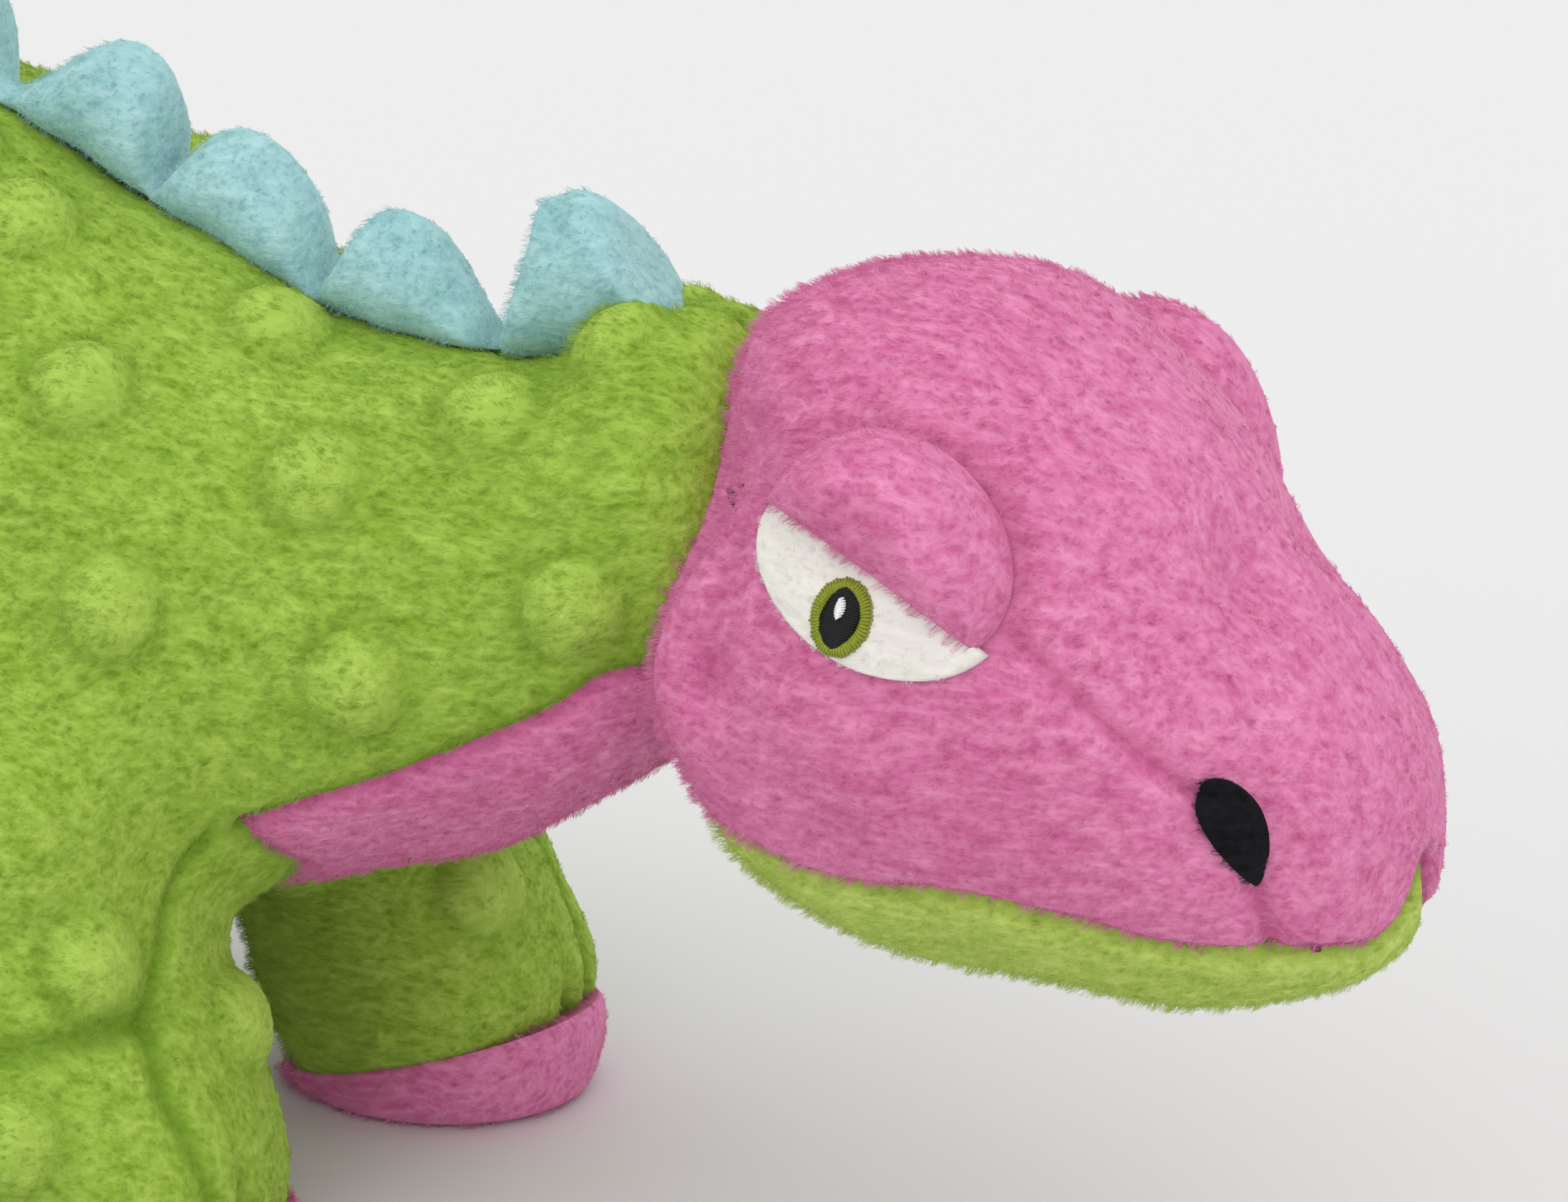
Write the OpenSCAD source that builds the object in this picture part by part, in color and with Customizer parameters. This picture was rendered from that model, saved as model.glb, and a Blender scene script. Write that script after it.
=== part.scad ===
// A long-necked stuffed dinosaur that stands on four short legs, nose towards +X, up +Z.
// The origin is under the middle of its outline, on the floor. All sizes are in millimetres.
//
// Every padded stretch is a loft through upright sections. A section is an ellipse that is
// given by its highest point, its lowest point and its half width, and angles around it are
// counted from the top, first down the animal's right side (-Y).
// Where a stretch can bend, a stuffed ball of the moving stretch sits in a cup of its
// neighbour, and the covers stop short of each other by the angle that the joint turns.

/* [Trunk] */
// Length of the trunk, from the edge at the neck to the edge at the tail
trunk_length = 170; // [165:1:178]
// Height of the back above the floor at its highest
back_height = 161; // [156:1:170]
// Width of the trunk at its widest
trunk_width = 110; // [104:1:116]

/* [Neck and head] */
// Height of the neck joint's centre above the floor
neck_joint_height = 95; // [94:0.5:96]
// Distance from the neck joint to the head joint
neck_length = 28; // [27:0.5:31]
// Rise from the neck joint to the head joint
neck_rise = 12; // [11:0.5:13]
// Length of the head, from the head joint to the tip of the nose
head_length = 98.3; // [92:0.1:104]
// Width of the head across the cheeks
head_width = 75.6; // [72:0.2:80]

/* [Legs] */
// Height of the hip joints above the floor
hip_height = 66; // [64:1:68]
// Distance between the right and left hip centres
hip_spread = 78; // [76:1:82]
// Distance between the front and hind hip centres
wheelbase = 84; // [80:1:88]
// Diameter of a front leg at the hip
front_leg_diameter = 51; // [48:1:52]
// Diameter of a hind leg at the hip
hind_leg_diameter = 54; // [50:1:55]
// Thickness of a padded sole in the middle
sole_thickness = 7; // [6:0.5:9]

/* [Tail and ridge] */
// Length of the tail behind its joint
tail_length = 60; // [50:1:75]
// Height of the tail joint above the floor
tail_joint_height = 88; // [86:1:90]
// Height of a tooth of the ridge above the back
tooth_height = 20; // [14:1:24]
// Thickness of the ridge at its foot
ridge_thickness = 9; // [6:0.5:10]

/* [Cloth] */
// Thickness of the plush cover with its backing
cover = 2.5; // [2:0.1:3]
// Thickness of the felt and the embroidery
felt = 1.2; // [1:0.1:1.6]
// Air between two pieces that are sewn to each other
ease = 0.25; // [0.2:0.05:0.35]
// Air between the cover and the stuffing
stuffing_air = 0.9; // [0.8:0.05:1.1]
// Air between a stuffed ball and its cup
joint_air = 0.5; // [0.4:0.05:0.8]

/* [Squeaker] */
// Diameter of the squeaker's bellows
squeaker_diameter = 38; // [30:1:44]
// Height of the squeaker's bellows
squeaker_height = 22; // [16:1:26]

/* [Hidden] */

green = "yellowgreen";
pink = "hotpink";
blue = "powderblue";
wool = "whitesmoke";
black = "black";

// Steps of the surfaces: around half a section, and between two control sections
half_steps = 9;
step_length = 0.5;

// The front hips stand at x = 0 while the shapes are worked out; centre_x moves the whole toy
neck_lip_x = 54;
neck_joint_x = 64;
neck_ball = [30.5, 30.5, 32];
head_joint_x = neck_joint_x + neck_length;
head_joint_height = neck_joint_height + neck_rise;
head_ball = [27, 24.5, 27];
head_lip_x = head_joint_x - 6.5;
head_edge_x = head_joint_x + 5;
tail_lip_x = neck_lip_x - trunk_length;
tail_joint_x = tail_lip_x - 9;
tail_ball = [22, 22, 22];
nose_x = head_joint_x + head_length;
tail_tip_x = tail_joint_x - tail_length;
centre_x = -(nose_x + tail_tip_x) / 2;

// Rows of a stretch: [x of the top, height of the top, x of the bottom, height of the bottom,
// half width]. The trunk is given as parts of its length, its height and its half width.
trunk_shape = [
    [0.000, 0.801, 0.351, 0.609], [0.075, 0.798, 0.326, 0.691], [0.156, 0.814, 0.304, 0.782],
    [0.243, 0.851, 0.289, 0.864], [0.329, 0.888, 0.280, 0.918], [0.434, 0.938, 0.273, 0.973],
    [0.538, 0.978, 0.276, 1.000], [0.636, 1.000, 0.280, 1.000], [0.734, 0.991, 0.286, 0.964],
    [0.827, 0.941, 0.301, 0.873], [0.902, 0.866, 0.320, 0.745], [0.960, 0.789, 0.351, 0.618],
    [1.000, 0.714, 0.388, 0.500]
];
trunk_rows = [for (r = trunk_shape)
    let (x = neck_lip_x - r[0] * trunk_length)
    [x, r[1] * back_height, x, r[2] * back_height, r[3] * trunk_width / 2]];

// The neck is measured from its joint, with its top and bottom against the head joint's height
neck_shape = [
    [0.00, 20.0, -44.0, 1.000], [0.38, 23.5, -39.5, 0.965],
    [0.70, 26.8, -35.0, 0.940], [1.00, 29.8, -29.8, 0.905]
];
neck_rows = [for (r = neck_shape)
    let (x = neck_joint_x + r[0] * (head_lip_x - neck_joint_x))
    [x, head_joint_height + r[1], x, head_joint_height + r[2], r[3] * neck_ball[1]]];

// The head leans its sections forward: parts of its length for the top and the bottom points,
// heights against the head joint, and parts of its half width
head_shape = [
    [0.051, 26.5, 0.051, -26.5, 0.638], [0.097, 34.0, 0.036, -36.5, 0.833],
    [0.193, 38.5, 0.071, -45.0, 0.939], [0.326, 39.5, 0.173, -49.5, 0.992],
    [0.458, 37.8, 0.305, -51.5, 1.000], [0.585, 32.0, 0.448, -52.2, 0.952],
    [0.702, 21.5, 0.585, -52.0, 0.865], [0.799, 10.5, 0.717, -51.5, 0.767],
    [0.880, 1.0, 0.839, -49.5, 0.635], [0.951, -8.0, 0.926, -45.0, 0.463],
    [0.990, -18.0, 0.980, -37.0, 0.238], [1.000, -26.0, 1.000, -28.0, 0.032]
];
head_rows = [for (r = head_shape)
    [head_joint_x + r[0] * head_length, head_joint_height + r[1],
     head_joint_x + r[2] * head_length, head_joint_height + r[3], r[4] * head_width / 2]];
head_last = len(head_rows) - 1;

// The tail tapers from its ball to a blunt tip
tail_shape = [
    [0.00, 22.0, -22.0, 1.00], [0.22, 16.5, -23.0, 0.89], [0.44, 10.0, -24.5, 0.74],
    [0.66, 3.5, -25.0, 0.58], [0.84, -2.0, -24.5, 0.41], [0.95, -7.0, -22.5, 0.23],
    [1.00, -13.5, -15.5, 0.05]
];
tail_rows = [for (r = tail_shape)
    let (x = tail_joint_x - r[0] * tail_length)
    [x, tail_joint_height + r[1], x, tail_joint_height + r[2], r[3] * tail_ball[1]]];

// Angles of the seams around a section, one for each control section
belly_seam = [120, 124, 131, 142, 149, 152, 153, 153, 153, 152, 150, 148, 147];
throat_seam = [119, 119, 119, 120];
cheek_seam = [60, 61, 63, 66, 69, 72, 75, 78, 98, 122, 122, 122];
mouth_seam = [142, 142, 133, 129, 129, 124, 123, 124, 122.5, 127, 148, 160];
seam_angle = 0.45;

// Value of a list of knots at a fractional place, with a smooth curve through the knots
function along(knots, t) =
    let (last = len(knots) - 1,
         i = min(max(floor(t), 0), last - 1),
         f = t - i,
         a = knots[max(i - 1, 0)], b = knots[i], c = knots[i + 1], d = knots[min(i + 2, last)])
    0.5 * (2 * b + (c - a) * f + (2 * a - 5 * b + 4 * c - d) * f * f
           + (3 * b - a - 3 * c + d) * f * f * f);

// Point of a stretch at place t and angle a, moved out of its surface by grow
function skin(rows, t, a, grow = 0) =
    let (s = along(rows, t),
         middle = [(s[0] + s[2]) / 2, 0, (s[1] + s[3]) / 2],
         rise = [(s[0] - s[2]) / 2, 0, (s[1] - s[3]) / 2],
         half = norm(rise))
    middle + rise / half * max(half + grow, 0.4) * cos(a)
    - [0, max(s[4] + grow, 0.4) * sin(a), 0];

// Places along a stretch from one control section to another
function places(from, to, step = step_length) =
    let (n = ceil((to - from) / step)) [for (i = [0:n]) from + (to - from) * i / n];

// A grid of points on a stretch between two seams, moved out by grow
function sheet_grid(rows, from, to, seam_a, seam_b, steps, grow) =
    [for (t = places(from, to))
        let (a = is_list(seam_a) ? along(seam_a, t) : seam_a,
             b = is_list(seam_b) ? along(seam_b, t) : seam_b)
        [for (j = [0:steps]) skin(rows, t, a + (b - a) * j / steps, grow)]];

// Whole rings of a stretch
function rings(rows, from, to, grow, sides = 2 * half_steps) =
    [for (t = places(from, to)) [for (j = [0:sides - 1]) skin(rows, t, 360 * j / sides, grow)]];

// One upright ring of an ellipsoid at a distance from its centre along X
function ball_ring(centre, ball, distance, sides = 2 * half_steps) =
    let (k = sqrt(max(1 - pow(distance / ball[0], 2), 0.0004)))
    [for (j = [0:sides - 1])
        centre + [distance, -ball[1] * k * sin(360 * j / sides), ball[2] * k * cos(360 * j / sides)]];

// Rings of an ellipsoid from one distance to another, evenly spaced by angle
function ball_rings(centre, ball, from, to, steps = 6) =
    let (a = asin(from / ball[0]), b = asin(to / ball[0]))
    [for (i = [0:steps]) ball_ring(centre, ball, ball[0] * sin(a + (b - a) * i / steps))];

// Two triangles for each cell between two rows of points numbered from p and q
function strip(p, q, count, wrap = false) =
    [for (j = [0:count - (wrap ? 1 : 2)])
        let (k = (j + 1) % count)
        each [[p + j, q + j, q + k], [p + j, q + k, p + k]]];

function turned(faces) = [for (f = faces) [f[2], f[1], f[0]]];

// A closed solid between an outer and an inner grid of the same size
module slab(outer, inner) {
    rows = len(outer);
    n = len(outer[0]);
    all_points = concat([for (r = outer) each r], [for (r = inner) each r]);
    in0 = rows * n;
    last = (rows - 1) * n;
    faces = concat(
        [for (i = [0:rows - 2]) each strip(i * n, (i + 1) * n, n)],
        turned([for (i = [0:rows - 2]) each strip(in0 + i * n, in0 + (i + 1) * n, n)]),
        strip(in0, 0, n),
        strip(last, in0 + last, n),
        [for (i = [0:rows - 2]) each [[i * n, in0 + i * n, in0 + (i + 1) * n],
                                      [i * n, in0 + (i + 1) * n, (i + 1) * n]]],
        [for (i = [0:rows - 2]) each [[i * n + n - 1, in0 + (i + 1) * n + n - 1, in0 + i * n + n - 1],
                                      [i * n + n - 1, (i + 1) * n + n - 1, in0 + (i + 1) * n + n - 1]]]
    );
    polyhedron(all_points, faces, convexity = 6);
}

// A closed solid through whole rings, shut at both ends by fans around their centres
module plug(loops) {
    n = len(loops[0]);
    count = len(loops);
    first_centre = sum_of(loops[0]) / n;
    last_centre = sum_of(loops[count - 1]) / n;
    all_points = concat([for (r = loops) each r], [first_centre, last_centre]);
    c0 = count * n;
    c1 = c0 + 1;
    faces = concat(
        [for (i = [0:count - 2]) each strip(i * n, (i + 1) * n, n, true)],
        [for (j = [0:n - 1]) [c0, j, (j + 1) % n]],
        [for (j = [0:n - 1]) [c1, (count - 1) * n + (j + 1) % n, (count - 1) * n + j]]
    );
    polyhedron(all_points, faces, convexity = 6);
}

function sum_of(points, i = 0) =
    i == len(points) - 1 ? points[i] : points[i] + sum_of(points, i + 1);

// A piece of cover between two seams of a stretch
module panel(rows, from, to, seam_a, seam_b, steps = half_steps) {
    a = [for (v = seam_a) v + seam_angle];
    b = [for (v = seam_b) v - seam_angle];
    slab(sheet_grid(rows, from, to, a, b, steps, 0),
         sheet_grid(rows, from, to, a, b, steps, -cover));
}

function fixed(value, rows) = [for (r = rows) value];
function mirrored(seam) = [for (v = seam) 360 - v];

// Moves a finished shape so that the outline of the toy is centred
module placed() translate([centre_x, 0, 0]) children();

// ---- Trunk ----

front_hip = [0, hip_spread / 2, hip_height];
hind_hip = [-wheelbase, hip_spread / 2, hip_height];

// Room for a leg: its ball, and the cone in which it swings
module hip_room(hip, diameter) {
    translate(hip) {
        sphere(r = diameter / 2 + joint_air, $fn = 40);
        translate([0, 0, -34]) cylinder(h = 34, r1 = diameter / 2 + 10.5, r2 = diameter / 2 + 2, $fn = 40);
    }
}

// The four hip rooms, or the two of one side
module hip_rooms(sides = [-1, 1]) {
    for (side = sides) {
        hip_room([front_hip[0], side * front_hip[1], front_hip[2]], front_leg_diameter);
        hip_room([hind_hip[0], side * hind_hip[1], hind_hip[2]], hind_leg_diameter);
    }
}

trunk_last = len(trunk_rows) - 1;

module torso_panel(side) {
    difference() {
        if (side < 0) panel(trunk_rows, 0, trunk_last, fixed(0, trunk_rows), belly_seam);
        else panel(trunk_rows, 0, trunk_last, mirrored(belly_seam), fixed(360, trunk_rows));
        hip_rooms([side]);
    }
}

module torso_panel_right() color(green) placed() torso_panel(-1);
module torso_panel_left() color(green) placed() torso_panel(1);

module belly_gusset() color(pink) placed()
    difference() {
        panel(trunk_rows, 0, trunk_last, belly_seam, mirrored(belly_seam), 5);
        hip_rooms();
    }

neck_centre = [neck_joint_x, 0, neck_joint_height];
head_centre = [head_joint_x, 0, head_joint_height];
tail_centre = [tail_joint_x, 0, tail_joint_height];
squeaker_centre = [-46, 0, 100];
cup_air = [joint_air, joint_air, joint_air];
inside = -cover - stuffing_air;

module torso_filling() color(wool) placed()
    difference() {
        plug(concat(
            [for (r = ball_rings(neck_centre, neck_ball + cup_air,
                                 -neck_ball[0] - joint_air + 0.01, neck_lip_x - neck_joint_x)) r],
            rings(trunk_rows, 0, trunk_last, inside),
            [for (r = ball_rings(tail_centre, tail_ball + cup_air,
                                 tail_lip_x - tail_joint_x, tail_ball[0] + joint_air - 0.01)) r]));
        hip_rooms();
        translate(squeaker_centre) sphere(r = squeaker_diameter / 2 + 4, $fn = 32);
    }

module squeaker_bellows() color("white") placed() translate(squeaker_centre)
    rotate_extrude($fn = 48)
        polygon([[0, -squeaker_height / 2], [squeaker_diameter * 0.42, -squeaker_height / 2],
                 [squeaker_diameter * 0.50, -squeaker_height / 4], [squeaker_diameter * 0.40, 0],
                 [squeaker_diameter * 0.50, squeaker_height / 4],
                 [squeaker_diameter * 0.42, squeaker_height / 2], [0, squeaker_height / 2]]);

module squeaker_reed() color("white") placed()
    translate(squeaker_centre + [0, 0, squeaker_height / 2 + 0.1])
        difference() {
            cylinder(h = 6, d = 10, $fn = 32);
            translate([0, 0, -1]) cylinder(h = 8, d = 3, $fn = 32);
        }

// ---- Ridge ----

// Height of the ridge at a distance along it: blunt teeth with low valleys between them
valley_height = 3;
function tooth(s, tall) =
    valley_height + (tall - valley_height) * pow(max(0.5 - 0.5 * cos(360 * s), 0), 0.45);

// One ring of the ridge at x: a narrow upright drop that stands across the back's top line
function ridge_ring(rows, x, t, tall) =
    let (foot = [x, 0, skin(rows, t, 0, 0.35)[2]],
         ahead = skin(rows, t + 0.02, 0), behind = skin(rows, t - 0.02, 0),
         run = (ahead - behind) / norm(ahead - behind),
         up = run[0] > 0 ? [-run[2], 0, run[0]] : [run[2], 0, -run[0]])
    [for (j = [0:9])
        let (a = 36 * j)
        foot + up * tall * (0.5 + 0.5 * cos(a))
        - [0, ridge_thickness / 2 * sin(a) * (1 - 0.35 * cos(a)), 0]];

// A row of teeth between two places on x
module ridge(rows, from_x, to_x, teeth, first_height, last_height) {
    n = teeth * 8;
    t_of_x = [for (t = [0:0.25:len(rows) - 1]) [-skin(rows, t, 0)[0], t]];
    plug([for (i = [0:n])
        let (k = i / n, x = from_x + (to_x - from_x) * k,
             tall = tooth(k * teeth, first_height + (last_height - first_height) * k))
        ridge_ring(rows, x, lookup(-x, t_of_x), i == 0 || i == n ? 1 : tall)]);
}

module ridge_back() color(blue) placed()
    ridge(trunk_rows, neck_lip_x - 0.8, tail_lip_x + 5, 6, tooth_height, 15);

// ---- Neck ----

neck_last = len(neck_rows) - 1;

module neck_panel_right() color(green) placed()
    panel(neck_rows, 0.03, neck_last, fixed(0, neck_rows), throat_seam);
module neck_panel_left() color(green) placed()
    panel(neck_rows, 0.03, neck_last, mirrored(throat_seam), fixed(360, neck_rows));
module throat_gusset() color(pink) placed()
    panel(neck_rows, 0.03, neck_last, throat_seam, mirrored(throat_seam), 5);

module neck_filling() color(wool) placed()
    plug(concat(
        [for (r = ball_rings(neck_centre, neck_ball, -neck_ball[0] + 0.01, -0.4)) r],
        rings(neck_rows, 0, neck_last, inside),
        turned_cup(head_centre, head_ball, head_lip_x - head_joint_x)));

// Rings of a cup from its lip back to its bottom, behind a ball on the far side of the lip
function turned_cup(centre, ball, lip) =
    ball_rings(centre, ball + cup_air, lip, -ball[0] - joint_air + 0.01);

module ridge_neck() color(blue) placed()
    ridge(neck_rows, neck_lip_x + 1.5, head_lip_x - 4, 1, tooth_height, tooth_height);

// ---- Head ----

module crown_gusset() color(pink) placed()
    panel(head_rows, 0.1, head_last, [for (v = cheek_seam) -v], cheek_seam, 14);
module cheek_right() color(pink) placed()
    panel(head_rows, 0.1, 8, cheek_seam, mouth_seam, 6);
module cheek_left() color(pink) placed()
    panel(head_rows, 0.1, 8, mirrored(mouth_seam), mirrored(cheek_seam), 6);
module jaw_panel() color(green) placed()
    panel(head_rows, 0.1, head_last, mouth_seam, mirrored(mouth_seam), 10);

module head_filling() color(wool) placed()
    plug(concat(
        [for (r = ball_rings(head_centre, head_ball, -head_ball[0] + 0.01, head_edge_x - head_joint_x)) r],
        rings(head_rows, 0.1, head_last - 0.35, inside)));

// ---- Tail ----

tail_last = len(tail_rows) - 1;

module tail_panel_right() color(green) placed()
    panel(tail_rows, 0.03, tail_last, fixed(0, tail_rows), fixed(180, tail_rows));
module tail_panel_left() color(green) placed()
    panel(tail_rows, 0.03, tail_last, fixed(180, tail_rows), fixed(360, tail_rows));

module tail_filling() color(wool) placed()
    plug(concat(
        [for (r = ball_rings(tail_centre, tail_ball, tail_ball[0] - 0.01, 0.4)) r],
        rings(tail_rows, 0, tail_last - 0.5, inside)));

module ridge_tail() color(blue) placed() ridge(tail_rows, tail_joint_x - 3, tail_joint_x - 40, 2, 13, 9);

// ---- Face ----

// A place on the head's surface, reached from [t, a] by going forwards and upwards in
// millimetres; grain is [millimetres for one control section, millimetres for one degree,
// millimetres that a line of constant angle sinks for each one forwards]
function on_face(spot, grain, forward, up, side, grow) =
    let (t = spot[0] + (forward - 0.12 * up) / grain[0],
         a = spot[1] - (up + grain[2] * forward) / grain[1])
    skin(head_rows, t, side < 0 ? a : 360 - a, grow);

// A flat or domed badge of cloth whose outline is drawn as [forwards, upwards] around a centre
module badge(side, spot, grain, outline, centre, low, high, dome = 0) {
    tilted = side < 0 ? outline : [for (i = [len(outline) - 1:-1:0]) outline[i]];
    shares = dome > 0 ? [0.2, 0.5, 0.78, 0.93, 1] : [0.3, 0.7, 1];
    plug(concat(
        [for (k = shares) [for (p = tilted)
            let (q = centre + (p - centre) * k)
            on_face(spot, grain, q[0], q[1], side, high + dome * sqrt(1 - 0.97 * k * k))]],
        [for (i = [len(shares) - 1:-1:0]) [for (p = tilted)
            let (q = centre + (p - centre) * shares[i])
            on_face(spot, grain, q[0], q[1], side, low)]]));
}

eye_spot = [3.81, 69];
eye_grain = [12, 0.71, 0.26];
nostril_spot = [7.68, 82.6];
nostril_grain = [10, 0.53, 0.41];
// Slope of the line along which the lid meets the eye
lid_slope = -29;
eye_half_length = 18;
eye_depth = 11;
lid_radius = 19;
iris_centre = [-1.7, -6.0];

// Turns outline points by the lid's slope
function sloped(points) =
    [for (p = points) [p[0] * cos(lid_slope) - p[1] * sin(lid_slope),
                       p[0] * sin(lid_slope) + p[1] * cos(lid_slope)]];
// Half an ellipse and its chord, anticlockwise; the chord lies at the height rest
function half_oval(half_length, depth, rest) =
    concat([for (i = [0:10]) [half_length * cos(18 * i), rest + depth * sin(18 * i)]],
           [for (i = [1:5]) [half_length * (-1 + i / 3), rest]]);
function flipped(points) = [for (i = [len(points) - 1:-1:0]) [points[i][0], -points[i][1]]];
function oval(rx, ry, middle) =
    [for (i = [0:13]) middle + [rx * cos(i * 360 / 14), ry * sin(i * 360 / 14)]];
function drop(rx, ry) =
    [for (i = [0:15])
        let (q = 22.5 * i, v = ry * sin(q))
        [rx * cos(q) * sqrt((1.02 + sin(q)) / 2) - 0.25 * v, v]];

module eye_white(side) color("white") placed()
    badge(side, eye_spot, eye_grain, sloped(flipped(half_oval(eye_half_length, eye_depth, 0.4))),
          sloped([[0, -4]])[0], ease, ease + felt);
module iris(side) color("olive") placed()
    badge(side, eye_spot, eye_grain, oval(4.3, 5.2, iris_centre), iris_centre,
          2 * ease + felt, 2 * ease + 1.6 * felt);
module pupil(side) color(black) placed()
    badge(side, eye_spot, eye_grain, oval(2.6, 3.1, iris_centre), iris_centre,
          3 * ease + 1.6 * felt, 3 * ease + 2 * felt);
module glint(side) color("white") placed()
    badge(side, eye_spot, eye_grain, oval(0.8, 1.2, iris_centre + [0, 0.9]), iris_centre + [0, 0.9],
          4 * ease + 2 * felt, 4 * ease + 2.3 * felt);
module eyelid(side) color(pink) placed()
    badge(side, eye_spot, eye_grain, sloped(half_oval(lid_radius, lid_radius, 0.4)),
          sloped([[0, 8]])[0], ease, 3, 7);
module nostril(side) color(black) placed()
    badge(side, nostril_spot, nostril_grain, drop(4.4, 7), [0, 0], ease, ease + felt);

module eye_white_right() eye_white(-1);
module eye_white_left() eye_white(1);
module iris_right() iris(-1);
module iris_left() iris(1);
module pupil_right() pupil(-1);
module pupil_left() pupil(1);
module glint_right() glint(-1);
module glint_left() glint(1);
module eyelid_right() eyelid(-1);
module eyelid_left() eyelid(1);
module nostril_right() nostril(-1);
module nostril_left() nostril(1);

// ---- Legs ----

// Rows of a leg: [height as a part of the hip's, shift forwards, half length and half width
// as parts of the hip's radius, rise of the front edge]
leg_shape = [
    [1.000, 0.0, 1.000, 1.000, 0.0], [0.880, 0.3, 0.965, 0.955, 0.0], [0.700, 3.0, 0.960, 0.930, 0.0],
    [0.500, 7.5, 1.020, 0.930, 0.0], [0.320, 12.0, 1.100, 0.940, 1.0], [0.200, 14.5, 1.090, 0.930, 2.5],
    [0.130, 15.0, 1.030, 0.890, 4.0]
];
leg_last = len(leg_shape) - 1;

// A point of a leg's surface at place t and angle a, counted from the front towards +Y
function leg_point(hip, radius, t, a, grow) =
    let (r = along(leg_shape, t))
    [hip[0] + r[1] + (r[2] * radius + grow) * cos(a),
     hip[1] + (r[3] * radius + grow) * sin(a),
     hip[2] * r[0] + r[4] * cos(a)];

function leg_grid(hip, radius, from, to, a, b, steps, grow) =
    [for (t = places(from, to))
        [for (j = [0:steps]) leg_point(hip, radius, t, a + (b - a) * j / steps, grow)]];

module leg_half(hip, diameter, a) color(green) placed()
    slab(leg_grid(hip, diameter / 2, 0.06, leg_last, a + 180 - 0.6, a + 0.6, 9, 0),
         leg_grid(hip, diameter / 2, 0.06, leg_last, a + 180 - 0.6, a + 0.6, 9, -cover));

module leg_filling(hip, diameter) color(wool) placed() {
    radius = diameter / 2;
    sides = 2 * half_steps;
    plug(concat(
        [for (i = [0:6])
            let (a = 89.5 - i * 89.5 / 6)
            [for (j = [0:sides - 1])
                let (b = -360 / sides * j)
                hip + radius * [cos(a) * cos(b), cos(a) * sin(b), sin(a)]]],
        [for (t = places(0.03, leg_last - 0.1))
            [for (j = [0:sides - 1]) leg_point(hip, radius, t, -360 / sides * j, inside)]]));
}

// The sole is a flat pillow that curls up at the toe: [part of the hip's radius, height, rise]
module sole(hip, diameter) color(pink) placed() {
    radius = diameter / 2;
    seam = leg_shape[leg_last];
    k = sole_thickness / 7;
    shape = [
        [0.50, seam[0] * hip[2] - 0.3, seam[4] * 0.50], [0.97, seam[0] * hip[2] - 0.3, seam[4] * 0.97],
        [1.03, 6.0 * k, 3.6], [1.02, 3.6 * k, 2.9], [0.93, 1.5 * k, 1.2], [0.80, 0.3 * k, 0.3], [0.55, 0, 0]
    ];
    plug([for (r = shape) [for (j = [0:19])
        let (a = -18 * j)
        [hip[0] + seam[1] + seam[2] * r[0] * radius * cos(a),
         hip[1] + seam[3] * r[0] * radius * sin(a), r[1] + r[2] * cos(a)]]]);
}

function hip_of(hip, side) = [hip[0], side * hip[1], hip[2]];
front_right = hip_of(front_hip, -1);
front_left = hip_of(front_hip, 1);
hind_right = hip_of(hind_hip, -1);
hind_left = hip_of(hind_hip, 1);

module front_right_leg_outer() leg_half(front_right, front_leg_diameter, 180);
module front_right_leg_inner() leg_half(front_right, front_leg_diameter, 0);
module front_right_filling() leg_filling(front_right, front_leg_diameter);
module front_right_sole() sole(front_right, front_leg_diameter);
module front_left_leg_outer() leg_half(front_left, front_leg_diameter, 0);
module front_left_leg_inner() leg_half(front_left, front_leg_diameter, 180);
module front_left_filling() leg_filling(front_left, front_leg_diameter);
module front_left_sole() sole(front_left, front_leg_diameter);
module hind_right_leg_outer() leg_half(hind_right, hind_leg_diameter, 180);
module hind_right_leg_inner() leg_half(hind_right, hind_leg_diameter, 0);
module hind_right_filling() leg_filling(hind_right, hind_leg_diameter);
module hind_right_sole() sole(hind_right, hind_leg_diameter);
module hind_left_leg_outer() leg_half(hind_left, hind_leg_diameter, 0);
module hind_left_leg_inner() leg_half(hind_left, hind_leg_diameter, 180);
module hind_left_filling() leg_filling(hind_left, hind_leg_diameter);
module hind_left_sole() sole(hind_left, hind_leg_diameter);

torso_panel_right();
torso_panel_left();
belly_gusset();
torso_filling();
squeaker_bellows();
squeaker_reed();
ridge_back();
neck_panel_right();
neck_panel_left();
throat_gusset();
neck_filling();
ridge_neck();
crown_gusset();
cheek_right();
cheek_left();
jaw_panel();
head_filling();
eye_white_right();
eye_white_left();
iris_right();
iris_left();
pupil_right();
pupil_left();
glint_right();
glint_left();
eyelid_right();
eyelid_left();
nostril_right();
nostril_left();
tail_panel_right();
tail_panel_left();
tail_filling();
ridge_tail();
front_right_leg_outer();
front_right_leg_inner();
front_right_filling();
front_right_sole();
front_left_leg_outer();
front_left_leg_inner();
front_left_filling();
front_left_sole();
hind_right_leg_outer();
hind_right_leg_inner();
hind_right_filling();
hind_right_sole();
hind_left_leg_outer();
hind_left_leg_inner();
hind_left_filling();
hind_left_sole();
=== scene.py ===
import math

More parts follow.
